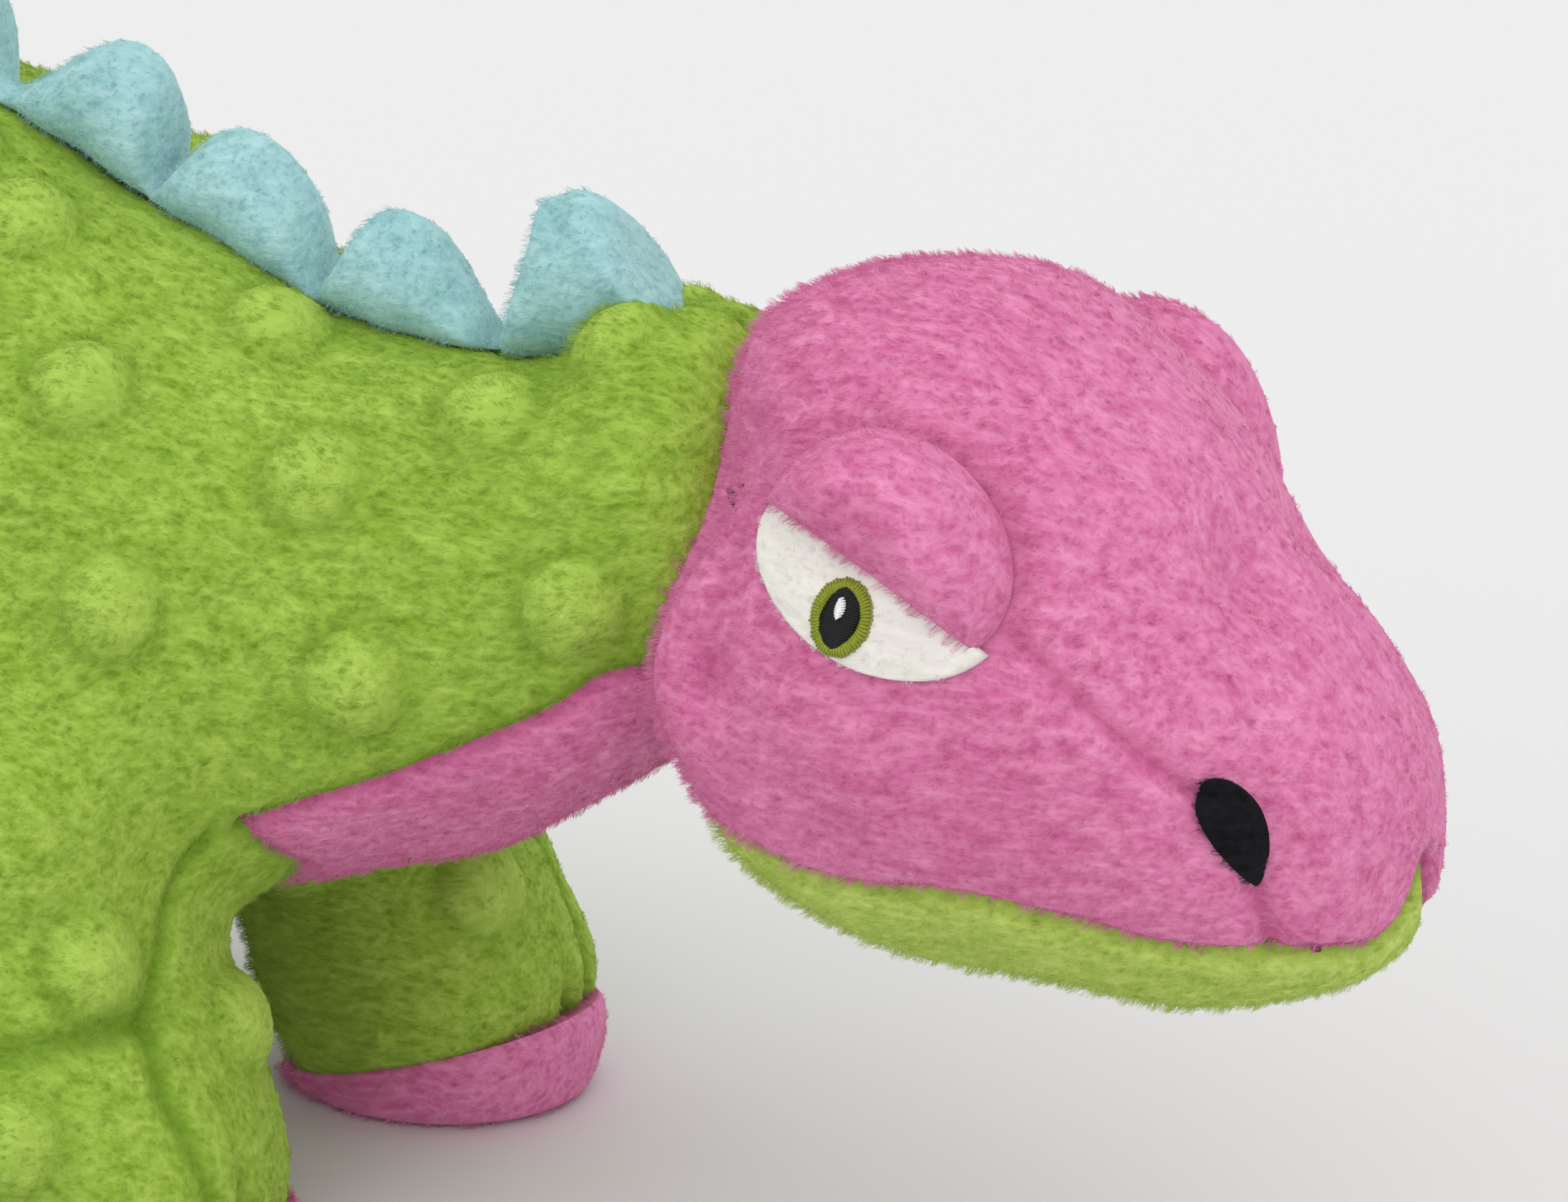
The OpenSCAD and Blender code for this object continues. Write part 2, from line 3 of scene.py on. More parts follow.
import bpy
import numpy as np
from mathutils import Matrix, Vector


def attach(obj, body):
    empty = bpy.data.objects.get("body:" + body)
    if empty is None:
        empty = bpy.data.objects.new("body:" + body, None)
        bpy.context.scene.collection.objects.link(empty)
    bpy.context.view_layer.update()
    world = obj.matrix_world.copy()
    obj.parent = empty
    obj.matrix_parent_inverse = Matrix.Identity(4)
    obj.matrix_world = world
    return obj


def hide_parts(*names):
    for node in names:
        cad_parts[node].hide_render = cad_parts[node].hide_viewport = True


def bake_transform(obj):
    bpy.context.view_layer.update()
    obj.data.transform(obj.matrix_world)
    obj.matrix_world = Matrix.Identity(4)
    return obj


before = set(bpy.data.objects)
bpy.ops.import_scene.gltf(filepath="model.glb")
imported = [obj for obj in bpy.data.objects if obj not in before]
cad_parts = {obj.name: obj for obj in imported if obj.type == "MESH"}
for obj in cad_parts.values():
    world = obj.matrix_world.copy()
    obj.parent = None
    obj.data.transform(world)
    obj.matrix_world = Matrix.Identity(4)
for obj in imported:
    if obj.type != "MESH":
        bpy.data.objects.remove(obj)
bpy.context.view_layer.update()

# ---- Camera and light ----
# A long lens looks down at the toy's head from its right front corner. The toy stands on
# a plain pale floor under large soft lamps.

camera_turn = math.radians(30.0)
camera_tilt = math.radians(16.5)
camera_back = Vector((math.sin(camera_turn) * math.cos(camera_tilt),
                      -math.cos(camera_turn) * math.cos(camera_tilt),
                      math.sin(camera_tilt)))
camera_data = bpy.data.cameras.new("camera")
camera_data.lens = 100.0
camera_data.sensor_width = 36.0
camera_data.clip_start = 0.02
camera = bpy.data.objects.new("camera", camera_data)
camera.location = (0.36835, -0.473, 0.260)
camera.rotation_euler = camera_back.to_track_quat("Z", "Y").to_euler()
bpy.context.collection.objects.link(camera)
bpy.context.scene.camera = camera
bpy.context.scene.view_settings.view_transform = "Standard"
bpy.context.scene.view_settings.look = "None"


def lamp(name, toward, strength, spread):
    """A very large, far lamp whose light comes from the direction toward."""
    data = bpy.data.lights.new(name, "SUN")
    data.energy = strength
    data.angle = math.radians(spread)
    obj = bpy.data.objects.new(name, data)
    obj.rotation_euler = Vector(toward).to_track_quat("Z", "Y").to_euler()
    bpy.context.collection.objects.link(obj)


lamp("lamp_above", (0.30, -0.30, 1.0), 0.62, 60.0)
lamp("lamp_side", (-0.6, -1.0, 0.55), 0.50, 60.0)
lamp("lamp_front", (0.75, -0.9, 0.16), 0.72, 70.0)

world = bpy.data.worlds.new("studio")
world.use_nodes = True
world.node_tree.nodes["Background"].inputs["Color"].default_value = (1.0, 1.0, 1.0, 1.0)
world.node_tree.nodes["Background"].inputs["Strength"].default_value = 0.90
bpy.context.scene.world = world


def new_material(name):
    """A material that uses nodes, with its tree and its shader node."""
    material = bpy.data.materials.new(name)
    material.use_nodes = True
    return material, material.node_tree, material.node_tree.nodes["Principled BSDF"]


floor_size, floor_z = 6.0, -0.0003
floor_mesh = bpy.data.meshes.new("floor")
floor_mesh.from_pydata([(-floor_size, -floor_size, floor_z), (floor_size, -floor_size, floor_z),
                        (floor_size, floor_size, floor_z), (-floor_size, floor_size, floor_z)],
                       [], [(0, 1, 2, 3)])
floor = bpy.data.objects.new("floor", floor_mesh)
bpy.context.collection.objects.link(floor)
floor_paint, _, floor_shader = new_material("floor_paper")
floor_shader.inputs["Base Color"].default_value = (0.71, 0.705, 0.705, 1.0)
floor_shader.inputs["Roughness"].default_value = 0.9
floor_mesh.materials.append(floor_paint)

# ---- Body cover ----
# Trunk, neck, tail and legs are knitted plush with raised dots, cut as two side panels with
# a smooth pink strip under the belly and throat. The toy is sewn inside out, turned and
# stuffed. It is worked out as one puffed skin here, then cut apart along its seams.

MM = 0.001

# One row for each section from the head to the tail: x, top, bottom, half width, seam angle
spine = np.array([
    (96.0, 131.0, 84.0, 21.0, 121), (90.0, 136.0, 79.0, 25.5, 120), (82.9, 137.0, 76.5, 27.6, 119),
    (76.4, 134.0, 71.5, 28.7, 119), (69.6, 130.8, 67.5, 29.6, 119), (61.4, 128.3, 62.5, 31.2, 119),
    (51.4, 127.9, 56.5, 33.8, 120), (38.6, 128.5, 52.5, 38.0, 124), (24.8, 131.0, 48.9, 43.0, 131),
    (10.0, 137.0, 46.5, 47.5, 142), (-4.6, 143.0, 45.1, 50.5, 149), (-22.4, 151.0, 44.0, 53.5, 152),
    (-40.1, 157.5, 44.4, 55.0, 153), (-56.8, 161.0, 45.1, 55.0, 153), (-73.4, 159.6, 46.0, 53.0, 153),
    (-89.2, 151.5, 48.5, 48.0, 152), (-102.0, 139.4, 51.5, 41.0, 150), (-111.9, 127.0, 56.5, 34.0, 148),
    (-118.7, 118.0, 61.5, 28.5, 147), (-127.7, 110.5, 65.0, 23.5, 150), (-140.9, 104.0, 65.5, 19.6, 160),
    (-154.1, 98.0, 64.5, 16.3, 178), (-167.3, 91.5, 64.5, 12.8, 180), (-178.1, 86.0, 65.5, 9.0, 180),
    (-184.7, 81.0, 67.5, 5.0, 180), (-187.4, 75.5, 72.0, 1.2, 180)])
front_hip_x, hind_hip_x = -2.65, -86.65
hip_y, hip_z = 39.0, 66.0
front_radius, hind_radius = 25.5, 27.0
# Legs: part of the hip's height, shift forwards, half length, half width, rise of the front
leg_rows = np.array([
    (1.00, 0.0, 1.00, 1.00, 0.0), (0.88, 0.3, 0.965, 0.955, 0.0), (0.70, 3.0, 0.96, 0.93, 0.0),
    (0.50, 7.5, 1.02, 0.93, 0.0), (0.335, 12.0, 1.10, 0.94, 1.6), (0.22, 14.7, 1.10, 0.93, 4.0),
    (0.14, 15.2, 1.04, 0.89, 7.2), (0.05, 14.6, 0.90, 0.78, 3.2)])
legs = {"front_right": (front_hip_x, -1, front_radius), "front_left": (front_hip_x, 1, front_radius),
        "hind_right": (hind_hip_x, -1, hind_radius), "hind_left": (hind_hip_x, 1, hind_radius)}


def through(knots, t):
    """A smooth curve through evenly counted knots: on each stretch the cubic whose slope at
    a knot is half the step between its two neighbours."""
    knots = np.asarray(knots, float)
    t = np.asarray(t, float)
    last = len(knots) - 1
    i = np.clip(np.floor(t).astype(int), 0, last - 1)
    f = (t - i)[..., None] if knots.ndim > 1 else t - i
    a, b = knots[np.maximum(i - 1, 0)], knots[i]
    c, d = knots[i + 1], knots[np.minimum(i + 2, last)]
    return 0.5 * (2 * b + (c - a) * f + (2 * a - 5 * b + 4 * c - d) * f * f
                  + (3 * b - a - 3 * c + d) * f ** 3)


def closed_tube(rings):
    """Points and faces of a closed form through rings of equal count; each end is drawn
    together into a pole at the mean of its ring. Faces are turned outwards: the sum of
    the signed volumes between them and the middle is made positive."""
    rows, n = rings.shape[:2]
    points = np.concatenate([rings.reshape(-1, 3), rings[:1].mean(1), rings[-1:].mean(1)])
    i, j = np.meshgrid(np.arange(rows - 1) * n, np.arange(n), indexing="ij")
    k = (j + 1) % n
    quads = np.stack([i + j, i + n + j, i + n + k, i + k], -1).reshape(-1, 4)
    j = np.arange(n)
    first = np.stack([np.full(n, rows * n), j, (j + 1) % n, ], -1)
    last = np.stack([np.full(n, rows * n + 1), (rows - 1) * n + (j + 1) % n, (rows - 1) * n + j], -1)
    corner = points - points.mean(0)
    halves = np.concatenate([quads[:, [0, 1, 2]], quads[:, [0, 2, 3]], first, last])
    volume = np.einsum("ij,ij->i", corner[halves[:, 0]],
                       np.cross(corner[halves[:, 1]], corner[halves[:, 2]])).sum()
    faces = quads.tolist() + first.tolist() + last.tolist()
    return points, [tuple(f) if volume > 0 else tuple(f[::-1]) for f in faces]


def new_mesh(name, points, faces):
    """A mesh object from points in millimetres, smooth shaded, placed by its mesh."""
    mesh = bpy.data.meshes.new(name)
    mesh.from_pydata((np.asarray(points) * MM).tolist(), [], faces)
    mesh.validate()
    mesh.polygons.foreach_set("use_smooth", np.ones(len(mesh.polygons), bool))
    obj = bpy.data.objects.new(name, mesh)
    bpy.context.collection.objects.link(obj)
    return obj


def spine_ring(t, sides=56):
    """Upright elliptic sections of the trunk at places t along the spine's rows."""
    row = through(spine, t)[:, None, :]
    a = np.linspace(0, 2 * np.pi, sides, endpoint=False)[None, :]
    z = (row[..., 1] + row[..., 2]) / 2 + (row[..., 1] - row[..., 2]) / 2 * np.cos(a)
    return np.stack([row[..., 0] + 0 * a, -row[..., 3] * np.sin(a), z], -1)


def foot_lift(hip_x, side, a):
    """Part of a row's rise at angle a from the toe: the front left foot is turned up most,
    the others stand flatter and lower."""
    return 1.05 * np.cos(a) if side > 0 and hip_x > -40.0 else 0.5 * np.cos(a) - 0.28


def leg_ring(hip_x, side, radius, sides=40):
    """Level rings of a leg: a half ball over the hip, then a leaning column that widens
    into a foot whose front edge is lifted."""
    a = -np.linspace(0, 2 * np.pi, sides, endpoint=False)[None, :]
    lift = np.radians(np.linspace(82, 8, 8))[:, None]
    ball = np.stack([hip_x + radius * np.cos(lift) * np.cos(a),
                     side * hip_y + radius * np.cos(lift) * np.sin(a),
                     hip_z + radius * np.sin(lift) + 0 * a], -1)
    row = through(leg_rows, np.linspace(0, len(leg_rows) - 1, 22))[:, None, :]
    column = np.stack([hip_x + row[..., 1] + row[..., 2] * radius * np.cos(a),
                       side * hip_y + row[..., 3] * radius * np.sin(a),
                       hip_z * row[..., 0] + row[..., 4] * foot_lift(hip_x, side, a)], -1)
    return np.concatenate([ball, column])


def baked(obj):
    """The object's mesh with its modifiers applied, as points in millimetres and corners."""
    graph = bpy.context.evaluated_depsgraph_get()
    mesh = bpy.data.meshes.new_from_object(obj.evaluated_get(graph))
    points = np.empty(len(mesh.vertices) * 3)
    mesh.vertices.foreach_get("co", points)
    faces = [tuple(p.vertices) for p in mesh.polygons]
    bpy.data.meshes.remove(mesh)
    return points.reshape(-1, 3) / MM, faces


def discard(obj):
    mesh = obj.data
    bpy.data.objects.remove(obj)
    bpy.data.meshes.remove(mesh)


def edges_of(faces):
    """Each edge once, as pairs of point numbers, from faces of three or four corners."""
    pairs = np.array([(f[i], f[(i + 1) % len(f)]) for f in faces for i in range(len(f))])
    return np.unique(np.sort(pairs, 1), axis=0)


def relaxed(points, edges, amount, rounds):
    """Moves each point towards the mean of its neighbours by amount, that many rounds."""
    points = points.copy()
    degree = np.bincount(edges.ravel(), minlength=len(points))[:, None]
    for _ in range(rounds):
        total = np.stack([np.bincount(edges[:, 0], points[edges[:, 1], k], len(points))
                          + np.bincount(edges[:, 1], points[edges[:, 0], k], len(points))
                          for k in range(3)], -1)
        points += amount * (total / degree - points)
    return points


# The plane that ends a leg's patch of skin goes through (y, z) and falls away outwards
join_y, join_z = 57.5, 92.0
join_out, join_down = 0.70, 0.717


def leg_depth(p):
    """How far inside a leg's patch of skin a point is, in millimetres, and which leg. The
    patch is bounded above by a plane that slants from the flank down to the groin, and
    ahead and behind by a round line about the hip that runs down the leg."""
    best = np.full(len(p), -99.0)
    which = np.zeros(len(p), int)
    slant = join_out * (np.abs(p[:, 1]) - join_y) - join_down * (p[:, 2] - join_z)
    for n, (hip_x, side, radius) in enumerate(legs.values()):
        down = np.clip(hip_z - p[:, 2], 0, None)
        dx = p[:, 0] - hip_x - 0.24 * down
        up = np.clip(p[:, 2] - hip_z, 0, None)
        round_line = radius + 7.0 - np.hypot(dx, up)
        depth = np.minimum(slant, round_line)
        depth = np.where(p[:, 1] * side > 0, depth, -99.0)
        which = np.where(depth > best, n, which)
        best = np.maximum(best, depth)
    return best, which


def spine_place(x):
    """The place along the spine's rows where the trunk's section lies at x."""
    t_fine = np.linspace(0, len(spine) - 1, 400)
    return np.interp(-x, -through(spine, t_fine)[:, 0], t_fine)


def trunk_angle(p):
    """Angle around the trunk from the top line, in degrees, the place along the spine's
    rows, and millimetres of skin for one degree there."""
    t = spine_place(p[:, 0])
    row = through(spine, t)
    middle, half = (row[:, 1] + row[:, 2]) / 2, (row[:, 1] - row[:, 2]) / 2
    a = np.degrees(np.arctan2(np.abs(p[:, 1]) / row[:, 3], (p[:, 2] - middle) / half))
    return a, t, np.radians(1) * (half + row[:, 3]) / 2


parts = [closed_tube(spine_ring(np.linspace(0, len(spine) - 1, 120)))]
parts += [closed_tube(leg_ring(*leg)) for leg in legs.values()]
blank_points, blank_faces = [], []
for points, faces in parts:
    start = sum(len(p) for p in blank_points)
    blank_points.append(points)
    blank_faces += [tuple(v + start for v in f) for f in faces]
blank = new_mesh("blank", np.concatenate(blank_points), blank_faces)
fuse = blank.modifiers.new("fuse", "REMESH")
fuse.mode = "VOXEL"
fuse.voxel_size = 4.0 * MM
skin_points, skin_faces = baked(blank)
discard(blank)

skin_edges = edges_of(skin_faces)
depth, _ = leg_depth(skin_points)
near_join = np.exp(-(depth / 11.0) ** 2)[:, None]
softened = relaxed(skin_points, skin_edges, 0.5, 26)
skin_points += near_join * (softened - skin_points)
skin_points = relaxed(skin_points, skin_edges, 0.5, 2)


def puffed(points, faces, held, pressure, reach):
    """The skin after a short spell as cloth under air pressure, without gravity. Sewn lines
    stay where they are, and no point moves further than reach millimetres."""
    obj = new_mesh("puffed", points, faces)
    group = obj.vertex_groups.new(name="sewn")
    group.add(np.where(held)[0].tolist(), 1.0, "REPLACE")
    cloth = obj.modifiers.new("cloth", "CLOTH")
    cloth.settings.use_pressure = True
    cloth.settings.uniform_pressure_force = pressure
    cloth.settings.quality = 5
    cloth.settings.mass = 0.15
    cloth.settings.effector_weights.gravity = 0
    cloth.settings.vertex_group_mass = "sewn"
    cloth.point_cache.frame_start = 1
    cloth.point_cache.frame_end = 16
    for step in range(1, 17):
        bpy.context.scene.frame_set(step)
    moved, _ = baked(obj)
    bpy.context.scene.frame_set(1)
    discard(obj)
    shift = moved - points
    far = np.maximum(np.linalg.norm(shift, axis=1), 1e-6)[:, None]
    return points + shift / far * reach * np.tanh(far / reach)


angle, place, degree = trunk_angle(skin_points)
seam_gap = np.abs(angle - through(spine[:, 4], place)) * degree
on_leg = depth > 0
seam_side = np.abs(np.abs(skin_points[:, 1]) - 45.0)
held = ((~on_leg & ((seam_gap < 3.5) | (angle * degree < 4.0))) | (on_leg & (seam_side < 2.5))
        | (skin_points[:, 2] < 14.0) | (skin_points[:, 0] > 84.0) | (skin_points[:, 0] < -150.0))
skin_points = puffed(skin_points, skin_faces, held, 4.0, 2.5)

fine = new_mesh("fine", skin_points, skin_faces)
smooth = fine.modifiers.new("smooth", "SUBSURF")
smooth.levels = 2
smooth.render_levels = 2
skin_points, skin_faces = baked(fine)
discard(fine)
quads = np.array([f if len(f) == 4 else (*f, f[0]) for f in skin_faces])
skin_triangles = np.concatenate([quads[:, [0, 1, 2]], quads[:, [0, 2, 3]]])
skin_triangles = skin_triangles[(skin_triangles[:, 0] != skin_triangles[:, 2])
                                & (skin_triangles[:, 1] != skin_triangles[:, 2])]


def fit_to_line(points, triangles, field, rounds=3):
    """Slides the nearer end of every edge that crosses a seam line onto the line, so that
    the line runs along edges. field gives the signed distance of points from the line."""
    points = points.copy()
    edges = np.unique(np.sort(triangles[:, [0, 1, 1, 2, 2, 0]].reshape(-1, 2), 1), axis=0)
    for _ in range(rounds):
        value = field(points)
        value[np.abs(value) < 1e-4] = 0
        a, b = edges[value[edges[:, 0]] * value[edges[:, 1]] < 0].T
        if not len(a):
            break
        swap = np.abs(value[a]) > np.abs(value[b])
        a, b = np.where(swap, b, a), np.where(swap, a, b)
        share = value[a] / (value[a] - value[b])
        order = np.argsort(-share)
        target = points[a] + share[:, None] * (points[b] - points[a])
        points[a[order]] = target[order]
    return points


neck_cut_x, neck_root_x, tail_root_x = 74.0, 51.35, -118.65


def gusset_gap(p):
    """Signed distance below the gusset's seam, positive on the pink strip."""
    a, t, degree_mm = trunk_angle(p)
    return (a - through(spine[:, 4], t)) * degree_mm


skin_points = fit_to_line(skin_points, skin_triangles, lambda p: leg_depth(p)[0])
skin_points = fit_to_line(skin_points, skin_triangles, gusset_gap)
for cut_x in (neck_cut_x, neck_root_x, tail_root_x):
    skin_points = fit_to_line(skin_points, skin_triangles, lambda p: p[:, 0] - cut_x)


def face_normals(points, triangles):
    a, b, c = (points[triangles[:, k]] for k in range(3))
    return np.cross(b - a, c - a)


def point_normals(points, triangles):
    """Unit normal at each point: the sum of its triangles' normals, larger ones counting more."""
    cross = face_normals(points, triangles)
    total = np.stack([np.bincount(triangles.ravel(), np.repeat(cross[:, k], 3), len(points))
                      for k in range(3)], -1)
    return total / np.maximum(np.linalg.norm(total, axis=1), 1e-12)[:, None]


def hollow(distance, width):
    """A smooth dip that is 1 on a line and fades out by about twice its width."""
    return np.exp(-(distance / width) ** 2)


# Raised dots: millimetres along the body, and millimetres down the side from the top line
dots = [(-11.7, 21), (23.8, 12), (7.5, 38), (41.3, 33), (61.0, 18), (75.0, 8), (18.9, 62),
        (50.5, 58), (80.0, 50), (30.0, 88), (-5.0, 84), (58.0, 84)]
for row in range(5):
    for column in range(6):
        dots.append((-28.0 - 31.0 * column + (15.5 if row % 2 else 0.0), 16.0 + 25.0 * row))
dot_radius, dot_height = 7.4, 3.9


def trunk_spot(x, down):
    """The point of the side that lies down millimetres from the top line at x."""
    ring = spine_ring(np.array([spine_place(x)]), 360)[0]
    ring = ring[:181] * (1, -1, 1)
    run = np.concatenate([[0], np.cumsum(np.linalg.norm(np.diff(ring, axis=0), axis=1))])
    return np.array([np.interp(down, run, ring[:, k]) for k in range(3)]), run[-1] - down


skin_normals = point_normals(skin_points, skin_triangles)
depth, which_leg = leg_depth(skin_points)
gap = gusset_gap(skin_points)
raised = np.zeros(len(skin_points))
dot_ring_shade = np.zeros(len(skin_points))
dot_spots = []
for x, down in dots:
    spot, left_over = trunk_spot(x, down)
    if left_over > 34.0 and x > -172:
        dot_spots += [spot * (1, side, 1) for side in (-1, 1)]
for hip_x, side, radius in legs.values():
    for around, height in ((25, 36), (-32, 50), (-78, 27), (88, 42), (140, 56), (-140, 38), (165, 28)):
        row = through(leg_rows, np.interp(-height / hip_z, -leg_rows[:, 0], np.arange(len(leg_rows))))
        turn = math.radians(-around * side)
        dot_spots.append(np.array([hip_x + row[1] + row[2] * radius * math.cos(turn),
                                   side * hip_y + row[3] * radius * math.sin(turn), height]))
# Each dot is raised, and a ring of painted shade is laid round its edge.
for spot in dot_spots:
    near = np.linalg.norm(skin_points - spot, axis=1)
    clear = np.clip((abs(leg_depth(spot[None])[0][0]) - 3.0) / 4.0, 0, 1)
    raised = np.maximum(raised, clear * np.clip(1 - (near / dot_radius) ** 2, 0, 1) ** 0.75)
    dot_ring_shade = np.maximum(dot_ring_shade, clear * hollow(near - dot_radius - 0.6, 1.8))
raised *= (np.clip(np.abs(depth) / 5.0, 0, 1)
           * np.where(depth < 0, np.clip((-gap - 4.0) / 4.0, 0, 1), 1.0))

x, y, z = skin_points.T
side_y = np.abs(y)
on_leg = depth > 0
gusset_line = hollow(gap, 1.7) * ~on_leg * np.clip((x + 158.0) / 10.0, 0, 1)
leg_join = hollow(depth, 1.7) * np.clip((gap + 2.0) / 2.0, 0, 1)
hip_x_here = np.array([leg[0] for leg in legs.values()])[which_leg]
leg_seam_y = np.interp(z, (0, 18, 32, 41, 50, 64, 75), (46, 47.5, 48.5, 46.5, 41, 35, 33))
leg_seam = hollow(side_y - leg_seam_y, 1.5) * on_leg * np.clip((depth - 1.0) / 4.0, 0, 1)
top_line = hollow(y, 1.8) * (z > 90)
# The seam mark is painted shade: it darkens the colour along the seam grooves and the top line.
seam = np.clip(gusset_line + leg_join + leg_seam + top_line, 0, 1)
elbow_z = 37.5 + 0.23 * (x - hip_x_here - 10.0)
elbow = (hollow(z - elbow_z, 2.2) * on_leg * np.clip((side_y - 38.0) / 8.0, 0, 1)
         * np.clip((x - hip_x_here + 18.0) / 12.0, 0, 1))
fold_above = hollow(z - elbow_z - 15.0, 3.0) * on_leg * np.clip((side_y - 48.0) / 8.0, 0, 1)
toe_x = x - hip_x_here - 15.0
toe_cleft = hollow(side_y - 41.0, 1.6) * on_leg * (toe_x > 5.0) * np.clip((24.0 - z) / 10.0, 0, 1)
waves = sum(np.sin(skin_points @ np.array(way) + turn) for way, turn in (
    ((0.11, 0.05, 0.09), 0.3), ((-0.07, 0.12, 0.10), 1.9), ((0.05, -0.09, 0.14), 4.1),
    ((0.17, 0.11, -0.06), 2.2)))
random = np.random.default_rng(11)
pile_grain = random.normal(0.0, 0.10, len(skin_points))
lift = (dot_height * raised - 1.5 * gusset_line - 1.3 * leg_join - 1.3 * leg_seam - 1.6 * top_line
        - 2.4 * elbow - 1.2 * fold_above - 2.2 * toe_cleft + 0.35 * waves
        + pile_grain)
lift *= np.clip((skin_points[:, 2] - 5.0) / 6.0, 0.15, 1)
skin_points = skin_points + skin_normals * lift[:, None]
# More painted shade goes into the seam mark in the elbow crease, the toe cleft and round each dot.
seam = np.clip(seam + 0.8 * elbow + 0.6 * toe_cleft + 0.22 * dot_ring_shade, 0, 1)
skin_normals = point_normals(skin_points, skin_triangles)


def nap(piece, length=1.3, per_square=3.6, thread=0.055, group=None):
    """Loose pile ends over the cover: seeded strands spread evenly over its outer side,
    per_square for each square millimetre, leaning back and down as the pile is brushed."""
    mesh = piece.data
    areas = np.empty(len(mesh.polygons))
    mesh.polygons.foreach_get("area", areas)
    share = 0.5 if group else 1.0
    pile = piece.modifiers.new("nap", "PARTICLE_SYSTEM").particle_system
    pile.seed = 7
    strands = pile.settings
    strands.type = "HAIR"
    strands.use_advanced_hair = True
    strands.count = max(20, int(areas.sum() / MM ** 2 * share * per_square / 7))
    strands.hair_step = 3
    strands.render_step = 2
    strands.display_step = 2
    strands.use_even_distribution = True
    strands.normal_factor = 0.6 * length * MM / 4
    strands.object_align_factor = (-0.75 * length * MM / 4, 0.0, -0.2 * length * MM / 4)
    strands.factor_random = 0.5 * length * MM / 4
    strands.child_type = "INTERPOLATED"
    strands.rendered_child_count = 7
    strands.child_percent = 1
    strands.clump_factor = 0.6
    strands.roughness_2 = 0.0006
    strands.roughness_2_size = 0.5
    strands.root_radius = 1.0
    strands.tip_radius = 0.35
    strands.radius_scale = thread * MM
    if group:
        pile.vertex_group_density = group


def cut_piece(name, points, triangles, normals, keep, thick, marks):
    """A piece of cover as a closed sheet: the kept triangles, the same triangles moved
    inwards by thick millimetres and turned over, and a rim between the two. The outer
    side keeps the whole skin's normals, so no line shows where pieces meet."""
    kept = triangles[keep]
    used, renumbered = np.unique(kept, return_inverse=True)
    outer = renumbered.reshape(-1, 3)
    n = len(used)
    edges = outer[:, [0, 1, 1, 2, 2, 0]].reshape(-1, 2)
    key = np.sort(edges, 1) @ np.array([n, 1])
    _, first, count = np.unique(key, return_index=True, return_counts=True)
    rim = edges[first[count == 1]]
    a, b = rim[:, 0], rim[:, 1]
    faces = np.concatenate([outer, outer[:, ::-1] + n, np.stack([b, a, a + n], -1),
                            np.stack([b, a + n, b + n], -1)])
    skin_normal = normals[used]
    inner = points[used] - skin_normal * thick
    obj = new_mesh(name, np.concatenate([points[used], inner]), faces.tolist())
    for label, values in marks.items():
        mark = obj.data.attributes.new(label, "FLOAT", "POINT")
        mark.data.foreach_set("value", np.tile(values[used], 2).astype(np.float32))
    obj.data.normals_split_custom_set_from_vertices(
        np.concatenate([skin_normal, -skin_normal]).tolist())
    obj.vertex_groups.new(name="outer").add(list(range(n)), 1.0, "REPLACE")
    nap(obj, group="outer")
    return obj


class Yarn:
    """A socket of a shader tree on which plus, minus and times add Math nodes."""

    def __init__(self, tree, socket=None):
        self.tree, self.socket = tree, socket

    def node(self, kind, settings=None, values=None, out=0):
        """Adds a node: its settings first, then values or links of its sockets."""
        made = self.tree.nodes.new(kind)
        for key, value in (settings or {}).items():
            setattr(made, key, value)
        for key, value in (values or {}).items():
            if isinstance(value, Yarn):
                self.tree.links.new(value.socket, made.inputs[key])
            else:
                made.inputs[key].default_value = value
        return Yarn(self.tree, made.outputs[out])

    def math(self, operation, first, second):
        return self.node("ShaderNodeMath", {"operation": operation}, {0: first, 1: second})

    def __add__(self, other):
        return self.math("ADD", self, other)

    __radd__ = __add__

    def __mul__(self, other):
        return self.math("MULTIPLY", self, other)

    __rmul__ = __mul__

    def __sub__(self, other):
        return self.math("SUBTRACT", self, other)

    def __rsub__(self, other):
        return self.math("SUBTRACT", other, self)

    def blend(self, low, high):
        """A colour between low and high, with this as the share."""
        return self.node("ShaderNodeMix", {"data_type": "RGBA"}, {0: self, 6: low, 7: high}, 2)


def rgb(red, green, blue):
    """A linear colour from display values of 0 to 255."""
    share = np.array([red, green, blue]) / 255.0
    linear = np.where(share > 0.04045, ((share + 0.055) / 1.055) ** 2.4, share / 12.92)
    return (*linear.tolist(), 1.0)


